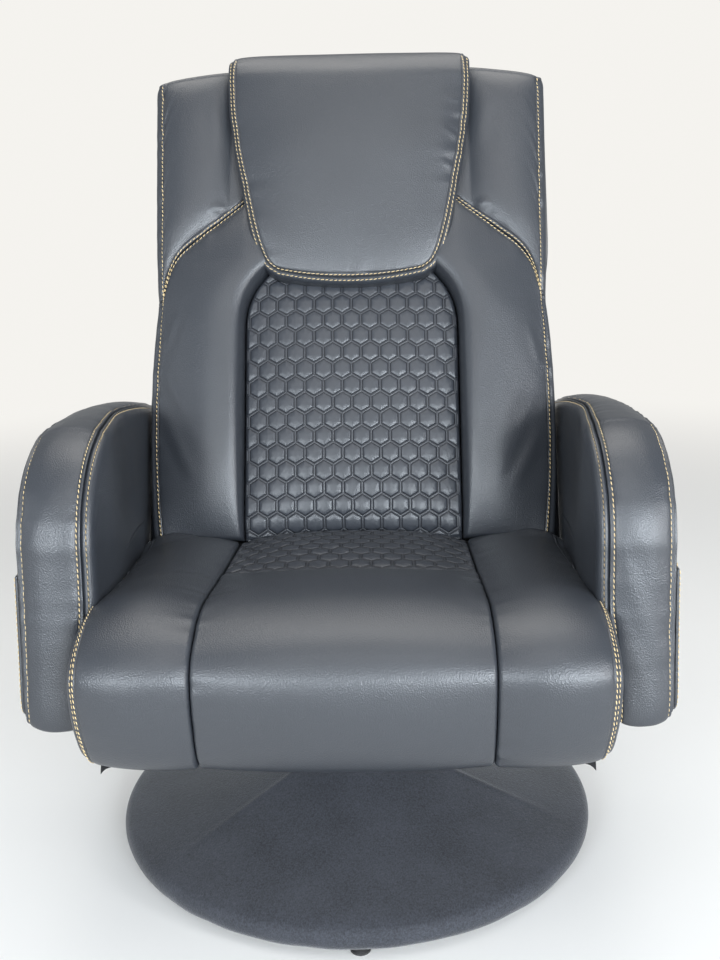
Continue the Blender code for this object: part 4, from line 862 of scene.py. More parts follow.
def lip_sag(x, z):
    """How much lower the seat's front lip hangs in its middle."""
    deepest, fade = 0.006, 0.12
    return deepest * below_nose(z) ** 2 * np.clip((SEAT_EDGE_X - np.abs(x)) / fade, 0, 1)


def section_grid(path, x):
    """A grid of points: this path in y and z, once at each x."""
    y, z = path[:, None, 0] + 0 * x[None], path[:, None, 1] + 0 * x[None]
    return np.stack([x[None] + 0 * y, y, z - lip_sag(x[None], z)], -1)


def seat_front():
    path = along(FRONT_PATH, spaced(reach_of(FRONT_PATH)[-1], high=0))
    half = SEAT_SEAM_X - SEAM_GAP
    x = spaced(2 * half) - half
    base = section_grid(path, x)
    inner = section_grid(core_path(path, SEAT_QUILT[0]), x * 0.997)
    face = normals_of(base, (0, -0.3, 1))
    first, last, foot, head = reaches(base)
    u, v = first / (first + last), foot / (foot + head)
    crown, lump = 0.009, 0.0012
    lift = crown * swell(u) * np.where(v < 0.5, 1 - 0.5 * np.exp(-v / 0.06), swell(v, 4))
    lift += stuffed_lift(base, face)
    lift += np.minimum(rolled(0.0045, 0.0045)(np.minimum(first, last)), rolled(0.003, 0.0022)(foot))
    gathered = bell(foot - 0.05, 0.06) + 0.4 * bell(foot - 0.22, 0.05)
    lift += puckered(foot, last, 0.0017, 0.012, 0.009, 11) * gathered
    lift += puckered(foot, first, 0.0010, 0.012, 0.011, 12)
    lift += lump * wander(foot, 0.07, 13) * wander(base[..., 0] + 1, 0.08, 14) * swell(u) * swell(v)
    mesh = closed_pad("seat_front_leather", base + face * lift[..., None], inner)
    soft_piece("seat_front_leather", mesh, "seat_front_cushion")


def hex_depth(x, y, pitch=HEX_PITCH):
    """How far a place lies inside the hexagon round it, of hexagons that stand on a corner."""
    found = []
    for shift in (0, 0.5):
        near = []
        for v, size in ((x, pitch), (y, pitch * math.sqrt(3))):
            near.append(abs(v.math("WRAP", v + shift * size, size / 2, -size / 2)))
        slanted = near[0] * 0.5 + near[1] * (math.sqrt(3) / 2)
        found.append(slanted.math("MAXIMUM", near[0], slanted))
    return pitch / 2 - found[0].math("MINIMUM", *found)


def quilt_tree():
    """Geometry Nodes that raise a quilt's hexagons, where its surface says how far along it each place is."""
    tree = bpy.data.node_groups.new("hexagon_quilt", "GeometryNodeTree")
    tree.interface.new_socket("Cover", in_out="INPUT", socket_type="NodeSocketGeometry")
    puff = tree.interface.new_socket("Puff", in_out="INPUT", socket_type="NodeSocketFloat")
    tree.interface.new_socket("Quilt", in_out="OUTPUT", socket_type="NodeSocketGeometry")
    given = tree.nodes.new("NodeGroupInput")
    x, y, clear, uneven = (
        Wire.node(tree, "GeometryNodeInputNamedAttribute", {"data_type": "FLOAT"}, {"Name": name})
        for name in ("across", "along", "clear", "uneven")
    )
    share = hex_depth(x, y) / (HEX_PITCH / 2)
    share = share.math("MINIMUM", share, 1.0)
    fullness = 3.2
    rise = (1 - (1 - share) ** fullness) * clear * uneven * Wire(tree, given.outputs["Puff"])
    facing = Wire.node(tree, "GeometryNodeInputNormal")
    push = Wire.node(tree, "ShaderNodeVectorMath", {"operation": "SCALE"}, {0: facing, "Scale": rise})
    moved = {"Geometry": Wire(tree, given.outputs["Cover"]), "Offset": push}
    quilt = Wire.node(tree, "GeometryNodeSetPosition", {}, moved)
    done = Wire.node(tree, "GeometryNodeSetMaterial", {}, {"Geometry": quilt, "Material": quilted})
    tree.links.new(done.socket, tree.nodes.new("NodeGroupOutput").inputs[0])
    return tree, puff.identifier


def quilted_leather():
    """The same leather, pressed into a double groove round each hexagon. Its colour is painted darker in the
    grooves, as painted shade.
    """
    finish, shader, place = begin_finish(
        "quilted_leather", (0.036, 0.041, 0.052), 0.36, Specular_IOR_Level=0.65
    )
    tree = place.tree
    x, y, clear = (
        Wire.node(tree, "ShaderNodeAttribute", {"attribute_name": name}, {}, "Fac")
        for name in ("across", "along", "clear")
    )
    groove_in, groove_width = 0.0014, 0.0007
    gap = (hex_depth(x, y) - groove_in) / groove_width
    groove = gap.math("EXPONENT", gap * gap * -1.0) * clear
    crinkle = clouds(stretched(place, 1, 1, 0.5), 220, 3)
    fine = clouds(place, 1400, 2)
    # Painted shade: the colour darkens along each double groove, mixed with random tone from soft patches.
    shade = 0.75 * groove + 0.25 * clouds(place, 9, 3)
    feed(
        shader,
        Base_Color=tint(shade, (0.037, 0.042, 0.052), (0.010, 0.011, 0.015)),
        Roughness=0.33 + 0.08 * fine + 0.25 * groove,
        Normal=relief(0.4 * crinkle + 0.12 * fine - 1.0 * groove, 0.0010, 0.8),
    )
    return finish


quilted = quilted_leather()
hexagons, puff_id = quilt_tree()


QUILT_FINE = 0.0006
QUILT_COARSE = 0.0011


def quilt_piece(name, outer, inner, puff, replaced, **pattern):
    """A quilted pad: its cover says for each point where it is in the pattern, and nodes raise the cells."""
    mesh = closed_pad(name, outer, inner)
    for key, value in pattern.items():
        data = np.zeros(len(mesh.vertices), np.float32)
        data[: outer.shape[0] * outer.shape[1]] = np.broadcast_to(value, outer.shape[:2]).ravel()
        mesh.attributes.new(key, "FLOAT", "POINT").data.foreach_set("value", data)
    made = placed(name, mesh)
    solid_from(made, hexagons, {puff_id: puff})
    made.data.set_sharp_from_angle(angle=math.radians(60))
    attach(made, "seat")
    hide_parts(replaced)


def clear_of(side, foot, rise):
    """From 0 at a quilt's seams to 1 where its cells have their full height."""
    return np.clip(side / 0.006, 0, 1) * np.clip((foot - 0.001) / rise, 0, 1)


def seat_quilt():
    rear = lean_y(-0.0005, SEAT_REAR_TOP), SEAT_REAR_TOP
    path = smooth_path([(SEAT_QUILT[0] + 0.0006, SEAT_QUILT[1]), rear])
    path = along(path, spaced(reach_of(path)[-1], 0.006, 0.003, QUILT_FINE, QUILT_COARSE))
    half = SEAT_SEAM_X - SEAM_GAP
    x = spaced(2 * half, 0.006, 0.006, QUILT_FINE, QUILT_COARSE) - half
    base = section_grid(path, x)
    inner = section_grid(np.stack([path[:, 0], 0 * path[:, 0] + BOARD_TOP], -1), x * 0.997)
    face = normals_of(base, (0, 0, 1))
    first, last, foot, head = reaches(base)
    side = np.minimum(first, last)
    front_crown, rear_crown, sunk = 0.0045, 0.0170, 0.0026
    crown = mix(front_crown, rear_crown, foot / (foot + head))
    lift = crown * swell(first / (first + last), 3) - sunk
    lift += stuffed_lift(base, face, 0.005)
    lift += rolled(0.0045, 0.0045)(side)
    lift += 0.0008 * wander(base[..., 0] + foot * 0.7, 0.011, 21) * wander(foot + 1, 0.013, 22)
    quilt_piece(
        "seat_quilt_leather", base + face * lift[..., None], inner, 0.0019, "seat_quilt_cushion",
        across=base[..., 0], along=foot, clear=clear_of(side, foot, 0.010),
        uneven=1 + 0.25 * wander(base[..., 0] * 0.8 + foot, 0.04, 23),
    )


def seat_bolster(side, name):
    roll, rear_roll = 0.007, 0.0045
    row_start, row_end = 0.30, 0.93
    path = along(SIDE_PATH, spaced(reach_of(SIDE_PATH)[-1], low=0, high=0))
    start, edge_x = SEAT_SEAM_X + SEAM_GAP, SEAT_EDGE_X - 0.001
    x = start + spaced(edge_x - start)
    base = section_grid(path, x)
    below = below_nose(path[:, 1])
    base[..., 0] = start + (base[..., 0] - start) * (1 - 0.045 * below[:, None] ** 2)
    beyond = np.clip((SEAT_CREST[0] - path[:, 0]) / NOSE_REACH, 0, 1)
    foot_x = edge_x + 0.0065 * (1 - beyond**2) - 0.005 * below**2
    inner = section_grid(core_path(path, path[0, 0]), x)
    inner[..., 0] = mix(start + 0.002, foot_x[:, None], ((x - start) / (x[-1] - start))[None])
    face = normals_of(base, (0, -0.3, 1))
    first, last, foot, head = reaches(base)
    u, v = first / (first + last), foot / (foot + head)
    crown, rear_corner, lump = 0.010, 0.008, 0.0012
    lift = crown * swell(u, 2) * np.where(v < 0.5, 1, swell(v, 4))
    lift += stuffed_lift(base, face)
    lift += rolled(0.0045, 0.0045)(first) + topstitched()(last)
    lift += rear_corner * bell(foot, 0.022) * np.clip((u - 0.45) / 0.3, 0, 1)
    seed = 30 if side > 0 else 40
    lift += puckered(foot, last - ROW, 0.0016, 0.015, 0.013, seed) * (0.3 + bell(foot - 0.17, 0.08))
    lift += puckered(foot, first, 0.0011, 0.014, 0.012, seed + 1)
    lift += lump * wander(foot, 0.08, seed + 2) * wander(first + 1, 0.06, seed + 3) * swell(u) * swell(v)
    outer = base + face * lift[..., None]
    outward = 0 * outer
    rearward = np.clip((path[:, 0] + 0.16) / 0.08, 0, 1) + 0.7 * np.clip(path[:, 0] / 0.05, 0, 1)
    outward[:, -1, 0] = roll + rear_roll * rearward
    rings, facings = rim_rings(outer, inner, outward, topstitched())
    soft_piece(name, closed_pad(name, outer, inner, rings, side))
    edge = slice(len(x) - 1, len(x) - 1 + len(path))
    low, high = round(row_start * len(path)), round(row_end * len(path))
    wall_row = rings[2][edge][low:high], facings[2][edge][low:high]
    return mirrored(side, [row_beside(outer, face, "last", ROW, row_start, row_end), wall_row])


seat_front()
seat_quilt()
stitches("seat_stitching", pair(seat_bolster, "seat_bolster"))


# Back: a hexagon-quilted centre between two bulging bolsters, with smooth panels above them. Each is a
# leather cover over foam on the plywood board. Gold rows run beside the seams of the bolsters.
BACK_TOP = 0.690
BACK_SEAM_X = 0.150
BACK_INNER = 0.0440
BACK_ROLL = 0.008
SHOULDER_ROW = 0.0052
SHOULDER = 0.330
WAIST_HALF = 0.262
SHOULDER_HALF = 0.2755
HEAD_HALF = 0.2835
REAR_HALF = 0.2872
UPWARD = np.array((0, math.sin(LEAN), math.cos(LEAN)))
BACK_FACING = (0, -1, 0.4)


def back_points(x, depth, height):
    """Points from the back's own directions: across it, into it, and up along its lean."""
    y = BACK_FOOT[0] + depth * math.cos(LEAN) + height * math.sin(LEAN)
    z = BACK_FOOT[1] - depth * math.sin(LEAN) + height * math.cos(LEAN)
    return np.stack(np.broadcast_arrays(x, y, z), -1)


def back_edge(height):
    """Half the back's width: it swells up to the bolsters' shoulders and then widens a little."""
    swollen, below = 0.0120, 0.170
    low = mix(WAIST_HALF, SHOULDER_HALF, np.sin(np.clip(height / SHOULDER, 0, 1) * math.pi / 2))
    low = low + swollen * np.sin(math.pi * (np.clip(height, 0, SHOULDER) + below) / (SHOULDER + below))
    high = mix(SHOULDER_HALF, HEAD_HALF, (height - SHOULDER) / (BACK_TOP - SHOULDER))
    return np.where(height < SHOULDER, low, high)


def back_flare(height):
    """How much wider the back's sides are at their rear than in front. They are pinched at the shoulders."""
    return (1 - bell(height - 0.345, 0.060)) * (REAR_HALF - back_edge(height))


def back_head(x):
    """The height of the back's top edge, which falls away beside the headrest."""
    beside = np.maximum(0, (np.abs(x) - 0.168) / (HEAD_HALF - 0.168))
    return BACK_TOP - 0.016 * beside**1.5 - 0.010 * np.minimum(1, beside) ** 14


def shoulder(x):
    """The height of the curved seam above a bolster, which falls towards the back's outer edge."""
    u = np.clip((x - BACK_SEAM_X) / 0.1195, 0, 1)
    return mix(0.486, SHOULDER, 0.6 * u + 0.4 * u**12)


def quilt_side(height):
    """Half the quilt's width: its upper corners are rounded."""
    return BACK_SEAM_X - 0.031 * np.clip((height - 0.291) / 0.084, 0, 1.2) ** 2.6


def back_quilt():
    x = spaced(2 * BACK_SEAM_X, 0.008, 0.008, QUILT_FINE, QUILT_COARSE) - BACK_SEAM_X
    height = -0.003 + spaced(0.403, 0.006, 0.003, QUILT_FINE, QUILT_COARSE)[:, None]
    wide = x[None] * (quilt_side(height) - 0.0006) / BACK_SEAM_X
    base = back_points(wide, 0.0035, height)
    face = normals_of(base, BACK_FACING)
    first, last, foot, _ = reaches(base)
    side = np.minimum(first, last)
    crown, tuck, visible = 0.008, 0.008, 0.361
    lift = crown * swell(first / (first + last)) * swell(np.clip(height / visible, 0, 1))
    lift += stuffed_lift(base, face)
    lift += rolled(0.0055, 0.0055)(side) - tuck * bell(foot, 0.022)
    first_row, stretch = 0.0672, 1.053
    quilt_piece(
        "back_quilt_leather", base + face * lift[..., None], back_points(wide * 0.998, BACK_INNER, height),
        0.0024, "back_quilt", across=wide, along=(height - first_row) / stretch,
        clear=clear_of(side, foot, 0.006), uneven=1 + 0.2 * wander(wide * 0.8 + height, 0.04, 51),
    )


def back_outward(shape, head):
    """Which way a back pad's rim rolls over: sideways, or also over its head and round the corner of both."""
    outward = np.zeros(shape)
    outward[:, -1] += (1, 0, 0)
    if head:
        outward[-1, :] += UPWARD
        for k in range(1, 14):
            share = 0.92 ** (k * k * 0.35)
            outward[-1, -1 - k] += (share, 0, 0)
            outward[-1 - k, -1] += UPWARD * share
    return BACK_ROLL * unit(outward)


def back_places(u, height_at, inner_edge):
    """Where a side pad's cover lies on the back. Its height and its width depend on each other, so they
    are found in turns."""
    x = mix(BACK_SEAM_X, 0.269, u)
    for _ in range(4):
        height = height_at(x)
        x = mix(inner_edge(height), back_edge(height) - BACK_ROLL, u)
    return x, height


def back_side_pad(side, name, x, height, u, swelled, seed, head, lines):
    """A bolster or an upper panel, from its cover's places on the back to its stitched seams."""
    base = back_points(x, 0.0, height)
    inner = back_points(x + back_flare(height) * u**6, BACK_INNER, height)
    face = normals_of(base, BACK_FACING)
    first, last, foot, top = reaches(base)
    shoulder_fall = topstitched(SHOULDER_ROW, 0.0028)
    if head:
        seam, row_sides = foot, (("foot", SHOULDER_ROW), ("last", ROW))
        fall = shoulder_fall(foot)
    else:
        seam, row_sides = top, (("last", ROW), ("head", SHOULDER_ROW))
        fall = rolled(0.008, 0.009)(first) + np.minimum(shoulder_fall(top), rolled(0.006, 0.006)(foot))
    lump = 0.0012 * swell(first / (first + last))
    lift = swelled + stuffed_lift(base, face) + topstitched()(last) + fall
    lift += puckered(base[..., 0], seam - ROW, 0.0012, 0.016, 0.013, seed)
    lift += puckered(foot, last - ROW, 0.0013, 0.014, 0.014, seed + 1)
    lift += lump * wander(foot, 0.09, seed + 2) * wander(first + 1, 0.05, seed + 3)
    lift += creases(base[..., 0], foot, *lines)
    outer = base + face * lift[..., None]
    outward = back_outward(outer.shape, head)
    rings, _ = rim_rings(outer, inner, outward, None if head else topstitched())
    soft_piece(name, closed_pad(name, outer, inner, rings, side))
    return mirrored(side, [row_beside(outer, face, where, distance) for where, distance in row_sides])


def back_bolster(side, name):
    v, u = spaced(0.40)[:, None] / 0.40, spaced(0.13)[None] / 0.13
    x, height = back_places(
        u,
        lambda x: v * (shoulder(x) - 0.0005) - 0.003 * (1 - v),
        lambda height: quilt_side(height) + 0.0006,
    )
    swelled = 0.029 * swell(u**0.45, 2.4) * swell(v, 4)
    lines = [(0.262, 0.150, 0.215, 0.060, 0.0015, 0.009), (0.266, 0.215, 0.225, 0.150, 0.0010, 0.008)]
    lines += [(0.262, 0.235, 0.245, 0.300, 0.0010, 0.006), (0.160, 0.060, 0.170, 0.300, 0.0016, 0.013)]
    if side < 0:
        lines = [(bx, by + 0.02, ax, ay + 0.03, size, wide) for ax, ay, bx, by, size, wide in lines]
    return back_side_pad(side, name, x, height, u, swelled, 60 if side > 0 else 70, False, lines)


def back_upper(side, name):
    v, u = spaced(0.26)[:, None] / 0.26, spaced(0.133)[None] / 0.133
    x, height = back_places(
        u,
        lambda x: mix(shoulder(x) + 0.0005, back_head(x) - BACK_ROLL, v),
        lambda height: BACK_SEAM_X + 0.0003,
    )
    covered = 0.172
    shown = np.clip((x - covered) / (back_edge(height) - covered), 0, 1)
    swelled = 0.010 * swell(shown) * swell(v, 6)
    lines = [(0.178, 0.006, 0.200, 0.030, 0.0020, 0.005), (0.180, 0.10, 0.200, 0.20, 0.0012, 0.010)]
    return back_side_pad(side, name, x, height, u, swelled, 80 if side > 0 else 90, True, lines)


def back_centre():
    half = BACK_SEAM_X - 0.0005
    x = np.linspace(-half, half, 40)[None]
    height = np.linspace(0.4005, BACK_TOP - 0.001, 40)[:, None]
    u, v = (x / half + 1) / 2, (height - height[0]) / (height[-1] - height[0])
    outer = back_points(x, 0.0015 - 0.001 * swell(u) * swell(v), height)
    mesh = closed_pad("back_centre_leather", outer, back_points(x, BACK_INNER, height))
    soft_piece("back_centre_leather", mesh, replaced="back_upper_center")


back_quilt()
back_centre()
stitches("back_stitching", pair(back_bolster, "back_bolster") + pair(back_upper, "back_upper"))


# Rear of the back: one padded cover over the board's rear, from the top edge down to the seat.
# Its edge meets the front panels in a seam round the sides and the top, with a row beside it.
SHELL_FLOOR = 0.2525
SHELL_DEPTH = 0.072
TRAY_SHARE = 0.886
TRAY_TOP = 0.674


def shell_level(x, height, depth, share):
    """The shell's points at one depth: above its floor, and drawn in to a share of its width."""
    lowest = (SHELL_FLOOR - BACK_FOOT[1] + depth * math.sin(LEAN)) / math.cos(LEAN)
    highest = BACK_TOP - 0.002 if share == 1 else TRAY_TOP
    return back_points(x * share, depth, np.clip(height, lowest, highest))


def back_shell():
    v = spaced(0.80, 0.010, 0.010, 0.0008, 0.005)[:, None] / 0.80
    u = spaced(2.0, 0.05, 0.05, 0.004, 0.018)[None] - 1
    low = (0.252 - BACK_FOOT[1] + SHELL_DEPTH * math.sin(LEAN)) / math.cos(LEAN) + 0.006
    height = mix(low, BACK_TOP - BACK_ROLL, v)
    half = np.where(height < 0, WAIST_HALF, back_edge(np.maximum(height, 0)))
    x = (half + back_flare(np.maximum(height, 0)) - BACK_ROLL) * u
    height = mix(low, back_head(x) - BACK_ROLL, v)
    base = back_points(x, SHELL_DEPTH, height)
    face = normals_of(base, (0, 1, -0.4))
    first, last, foot, head = reaches(base)
    side = np.minimum(first, last)
    crown, lump = 0.026, 0.0020
    lift = crown * swell((u + 1) / 2, 8) * swell(v, 8) + stuffed_lift(base, face)
    lift += np.minimum(topstitched()(side), topstitched()(head))
    lift += puckered(foot, side - ROW, 0.0010, 0.020, 0.016, 101)
    lift += lump * wander(foot, 0.10, 102) * wander(x + 1, 0.09, 103) * swell(v)
    outer = base + face * lift[..., None]
    inner = shell_level(x, height, 0.0590, TRAY_SHARE)
    front = shell_level(x, height, 0.0457, 1.0)
    ledge = shell_level(x, height, 0.0457, TRAY_SHARE)
    outward = np.zeros(outer.shape)
    outward[:, -1] += (1, 0, 0)
    outward[:, 0] -= (1, 0, 0)
    outward[-1, :] += UPWARD
    outward = BACK_ROLL * unit(outward)
    rings, _ = rim_rings(outer, front, outward)
    spots = tuple(zip(*rim_of(*outer.shape[:2])))
    rings += [(front + outward)[spots], ledge[spots]]
    soft_piece("back_shell_leather", closed_pad("back_shell_leather", outer, inner, rings))
    return [row_beside(outer, face, where, ROW, 0.02) for where in ("first", "last")]


# Headrest: a thick pad with a curved foot, sewn on over the top edge of the back. A gold row runs on
# both sides of its welted seam at the sides and foot, and a narrow border strip joins it to the back.
PILLOW_FOOT = 0.361
PILLOW_HALF = 0.1665
PILLOW_BORDER = 0.009
PILLOW_ROW = 0.0044
PILLOW_EDGE = 0.034
PILLOW_SHOWN = BACK_TOP


def pillow_grid():
    """The headrest's face, from its foot up and over the back's top edge to behind it."""
    rise = (0, 0.035, 0.10, 0.22, 0.40, 0.60, 0.80, 1.0)
    wide = (0.60, 0.69, 0.75, 0.815, 0.885, 0.96, 1.0, 1.0)
    width_path = smooth_path(list(zip(rise, wide)))
    u = (spaced(0.32, 0.014, 0.014, 0.0006, 0.0028) / 0.16) - 1
    front = np.array((0.0, 0.03, 0.08, 0.16, 0.28, 0.42, 0.56, 0.70, 0.82, 0.90))
    turns = np.radians((45, 75, 105, 135, 160, 178))
    foot_curve, face_height, rear_depth = 0.012, 0.341, 0.078
    thin, thick = 0.020, 0.034
    full = np.minimum(1, 0.1 + 1.6 * front) ** 0.6 * (1 - 0.4 * (front / 0.93) ** 6)
    crown = thin + thick * full
    edge = mix(crown[0], PILLOW_EDGE, np.clip(front / 0.15, 0, 1))
    half = PILLOW_HALF * np.interp(front, width_path[:, 0], width_path[:, 1])
    columns = []
    for value in u:
        side = abs(value) ** 3
        up = PILLOW_FOOT + foot_curve * value**2 * (1 - front) ** 3 + front * face_height
        face = np.stack([half * value, -mix(crown, edge, side), up], -1)
        depth = mix(0.0404, PILLOW_EDGE, side)
        middle, reach = (rear_depth - depth) / 2, (rear_depth + depth) / 2
        top = 0.700 + 0.002 * (1 - side**3)
        height = mix(PILLOW_SHOWN + 0.0003, top, np.maximum(0.5, np.sin(turns) ** 0.6))
        over = np.stack([0 * turns + PILLOW_HALF * value, middle - reach * np.cos(turns), height], -1)
        path = smooth_path(np.vstack([face, over]), 12)
        columns.append(along(path, spaced(1.0, 0.030, 0, 0.0018, 0.0075) * reach_of(path)[-1]))
    return np.stack(columns, axis=1)


def pillow_outward(base, face, depth):
    """Which way the headrest's border leaves its face: sideways and down, and less behind the back."""
    beside = np.cross(unit(np.gradient(base, axis=0)), face)
    beside = beside * np.sign(np.sum(beside[:, -1, 0]))
    down = np.cross(unit(np.gradient(base, axis=1)), face)
    down = down * np.sign(-np.sum(down[0] @ UPWARD))
    outward = np.zeros(base.shape)
    outward[:, -1], outward[:, 0] = beside[:, -1], -beside[:, 0]
    outward[0, :] += down[0]
    behind = np.clip((depth - 0.02) / 0.03, 0, 1)[..., None]
    return PILLOW_BORDER * unit(outward) * (1 - 0.55 * behind)


def pillow_rows(outer, face, height, rings, facings):
    """The two gold rows of the headrest: on its face round the sides and foot, and on its border."""
    rows, columns = outer.shape[:2]
    shown = int(np.argmax(height[:, 0] > PILLOW_SHOWN))
    inner_row = []
    for where in ("first", "foot", "last"):
        path, facing = row_beside(outer, face, where, PILLOW_ROW)
        if where == "foot":
            keep = np.abs(path[:, 0]) < np.abs(path[:, 0]).max() - PILLOW_ROW
        else:
            keep = (np.arange(len(path)) < shown) & (path[:, 2] > path[:, 2].min() + 0.003)
        step = -1 if where == "first" else 1
        inner_row.append((path[keep][::step], facing[keep][::step]))
    spots = rim_of(rows, columns)
    picked = [i for i, (r, c) in enumerate(spots) if (r == 0 or c in (0, columns - 1)) and r < shown]
    order = sorted(picked, key=lambda i: (i - (2 * columns + rows)) % len(spots))
    return [tuple(np.concatenate(parts) for parts in zip(*inner_row)), (rings[2][order], facings[2][order])]


def head_pillow():
    grid = pillow_grid()
    x, depth, height = grid[..., 0], grid[..., 1], grid[..., 2]
    base = back_points(x, depth, height)
    inner_depth = np.clip(depth, -0.0008, 0.0768)
    inner = back_points(x * 0.985, inner_depth, np.clip(height, PILLOW_FOOT, PILLOW_SHOWN - 0.0002))
    face = normals_of(base, BACK_FACING)
    first, last, foot, _ = reaches(base)
    fade = np.clip((PILLOW_SHOWN - height) / 0.012, 0, 1) * (depth < 0.02)
    side = np.minimum(first, last)
    seam = topstitched(PILLOW_ROW)
    lift = stuffed_lift(base, face) * np.clip(side / 0.02, 0, 1)
    lift += np.minimum(seam(side), seam(foot)) * mix(0.35, 1.0, fade)
    lift += puckered(foot, last - ROW, 0.0020, 0.016, 0.012, 111) * bell(foot - 0.20, 0.09)
    lift += puckered(foot, first - ROW, 0.0010, 0.014, 0.014, 112)
    lift += puckered(x, foot - ROW, 0.0012, 0.012, 0.008, 113) * bell(x - 0.03, 0.05)
    folds = (
        (0.156, 0.20, 0.128, 0.215, 0.0009, 0.004), (0.160, 0.255, 0.134, 0.262, 0.0009, 0.004),
        (0.150, 0.155, 0.126, 0.165, 0.0009, 0.004), (0.128, 0.06, 0.134, 0.300, 0.0014, 0.018),
    )
    lift += creases(x, foot, *folds) * fade
    lift += 0.0012 * wander(foot, 0.09, 114) * wander(x + 1, 0.07, 115) * swell(first / (first + last))
    outer = base + face * lift[..., None]
    outward = pillow_outward(base, face, depth)
    rings, facings = rim_rings(outer, inner, outward, topstitched(PILLOW_ROW))
    soft_piece("head_pillow_leather", closed_pad("head_pillow_leather", outer, inner, rings))
    return pillow_rows(outer, face, height, rings, facings)


shell_rows = back_shell()
headrest_rows = head_pillow()
stitches("back_shell_stitching", shell_rows)
stitches("head_pillow_stitching", headrest_rows)


# Armrests: a D-shaped leather cover over foam and a plywood core. A band runs round each, with a welted
# seam and a pair of gold rows at its inner edge and at its outer one. A flat pocket is sewn to the outside.
ARM_IN_X = 0.2885
ARM_WIDTH = 0.067
ARM_ROUND = 0.014
ARM_ROW = 0.0046
ARM_SEAMS = (0.0085, 0.0645)
POCKET_X = 0.3558
POCKET_TOP = 0.430
POCKET_HEM_Z = POCKET_TOP - 0.016


def arm_outline(inset):
    """The arm's outline in y and z, so far inside its widest one: from its rear corner round its front."""
    floor, top, dome_z, corner = 0.250 + inset, 0.528, 0.438, 0.022
    front_y, heel_y, crown_y = -0.238, -0.262, -0.100
    rear_depth, rear_round = 0.100, 0.035
    lean = (front_y - heel_y) / (dome_z - 0.250)
    foot = np.array((heel_y + inset + lean * corner, floor + corner))
    front = np.array((front_y + inset, dome_z))
    rear_y = lean_y(rear_depth, top) - inset
    start = np.array((lean_y(rear_depth, floor) - inset, floor))
    low_front = foot + (corner, -corner)
    bottom = [mix(start, low_front, s) for s in (0, 0.02, 0.25, 0.5, 0.75, 0.98, 1)]
    rise = [foot + (0.3 * corner, -0.7 * corner), foot, mix(foot, front, 0.33), mix(foot, front, 0.66)]
    dome_size = crown_y - front_y - inset, 0.129 - inset
    dome = arc((crown_y, dome_z), dome_size, 180, 90, 8)
    crown, rear = dome[-1], np.array((rear_y - rear_round, top - inset))
    bows = [mix(crown, rear, s) + (0, 0.25 * 0.039 * math.sin(math.pi * s)) for s in (0.35, 0.7)]
    round_off = [rear, np.array((rear_y - rear_round / 4, 0.521 - inset))]
    down = [np.array((lean_y(rear_depth, z) - inset, z)) for z in (0.505, 0.46, 0.40, 0.34, floor + 0.02)]
    return np.vstack([*bottom, *rise, *dome, *bows, *round_off, *down, start])


def arm_ring(inset, count=760):
    """Evenly shared points round an outline, at the same shares for every inset."""
    widest = smooth_path(arm_outline(0.0), 16)
    own = smooth_path(arm_outline(inset), 16)
    reach = reach_of(widest)
    shares = np.interp(np.linspace(0, 1, count, endpoint=False) * reach[-1], reach, np.arange(len(widest)))
    return np.stack([np.interp(shares, np.arange(len(own)), own[:, k]) for k in range(2)], -1)


def eased(share):
    """A share from 0 to 1, which starts and ends gently."""
    share = np.clip(share, 0, 1)
    return share**2 * (3 - 2 * share)


def unbroken(keep):
    """The kept places round a ring, in order from the one behind its gap."""
    order = np.flatnonzero(keep)
    gaps = np.flatnonzero(np.diff(order) > 1)
    return np.roll(order, -(gaps[0] + 1)) if len(gaps) else order


def arm_bulge(y, z):
    """How far the arm's inner side swells in: over the seat in front, and against its bolster behind."""
    ahead, above = eased((0.05 - y) / 0.20), eased((z - 0.290) / 0.110)
    low, beside = eased((0.455 - z) / 0.060), eased((0.130 - y) / 0.060)
    return mix(0.0045 * low * beside, 0.0065 + 0.0130 * above, ahead)


def arm_section():
    """Across the band, from the inner side's edge to the outer one's: places, points and facings."""
    section = smooth_path([
        (0.0, 0.032), (0.0, 0.021), (0.0007, 0.0125), (0.0030, 0.0068), (0.0072, 0.0027), (0.0135, 0.0),
        (0.0220, -0.0022), (0.0330, -0.0030), (0.0440, -0.0022), (0.0525, 0.0), (0.0592, 0.0027),
        (0.0638, 0.0068), (0.0663, 0.0125), (ARM_WIDTH, 0.021), (ARM_WIDTH, 0.032),
    ])
    reach = reach_of(section)
    places = np.unique(np.round(np.concatenate([np.arange(0, reach[-1], 0.0009), [reach[-1]]]), 6))
    section = along(section, places)
    tangent = unit(np.gradient(section, axis=0))
    return places, section, np.stack([-tangent[:, 1], tangent[:, 0]], -1)


def arm_side(ring, spine, face_x, sign, wave):
    """Rings that close a side of the arm, from the band's edge in to the side's middle line."""
    rings = []
    for step in np.linspace(0, 0.985, 26)[1:] ** 0.9:
        points = mix(ring[:, 1:], spine, step)
        x = face_x + sign * np.clip(0.0010 * (wave * np.exp(-step * 5) - 0.5), -0.0012, 0)
        if sign > 0:
            x = x - arm_bulge(points[:, 0], points[:, 1])
        x = mix(ring[:, 0], x, min(1, step * 6))
        rings.append(np.concatenate([x[:, None], points], -1))
    return rings


def ring_body(name, rings, side):
    """A closed body through rings of points, capped at both ends, on this side of the chair."""
    count = len(rings[0])
    faces = quads(len(rings), count, wrap_columns=True)
    faces += [list(range(count)), list(range((len(rings) - 1) * count, len(rings) * count))]
    return mesh_of(name, np.concatenate(rings) * (side, 1, 1), faces)


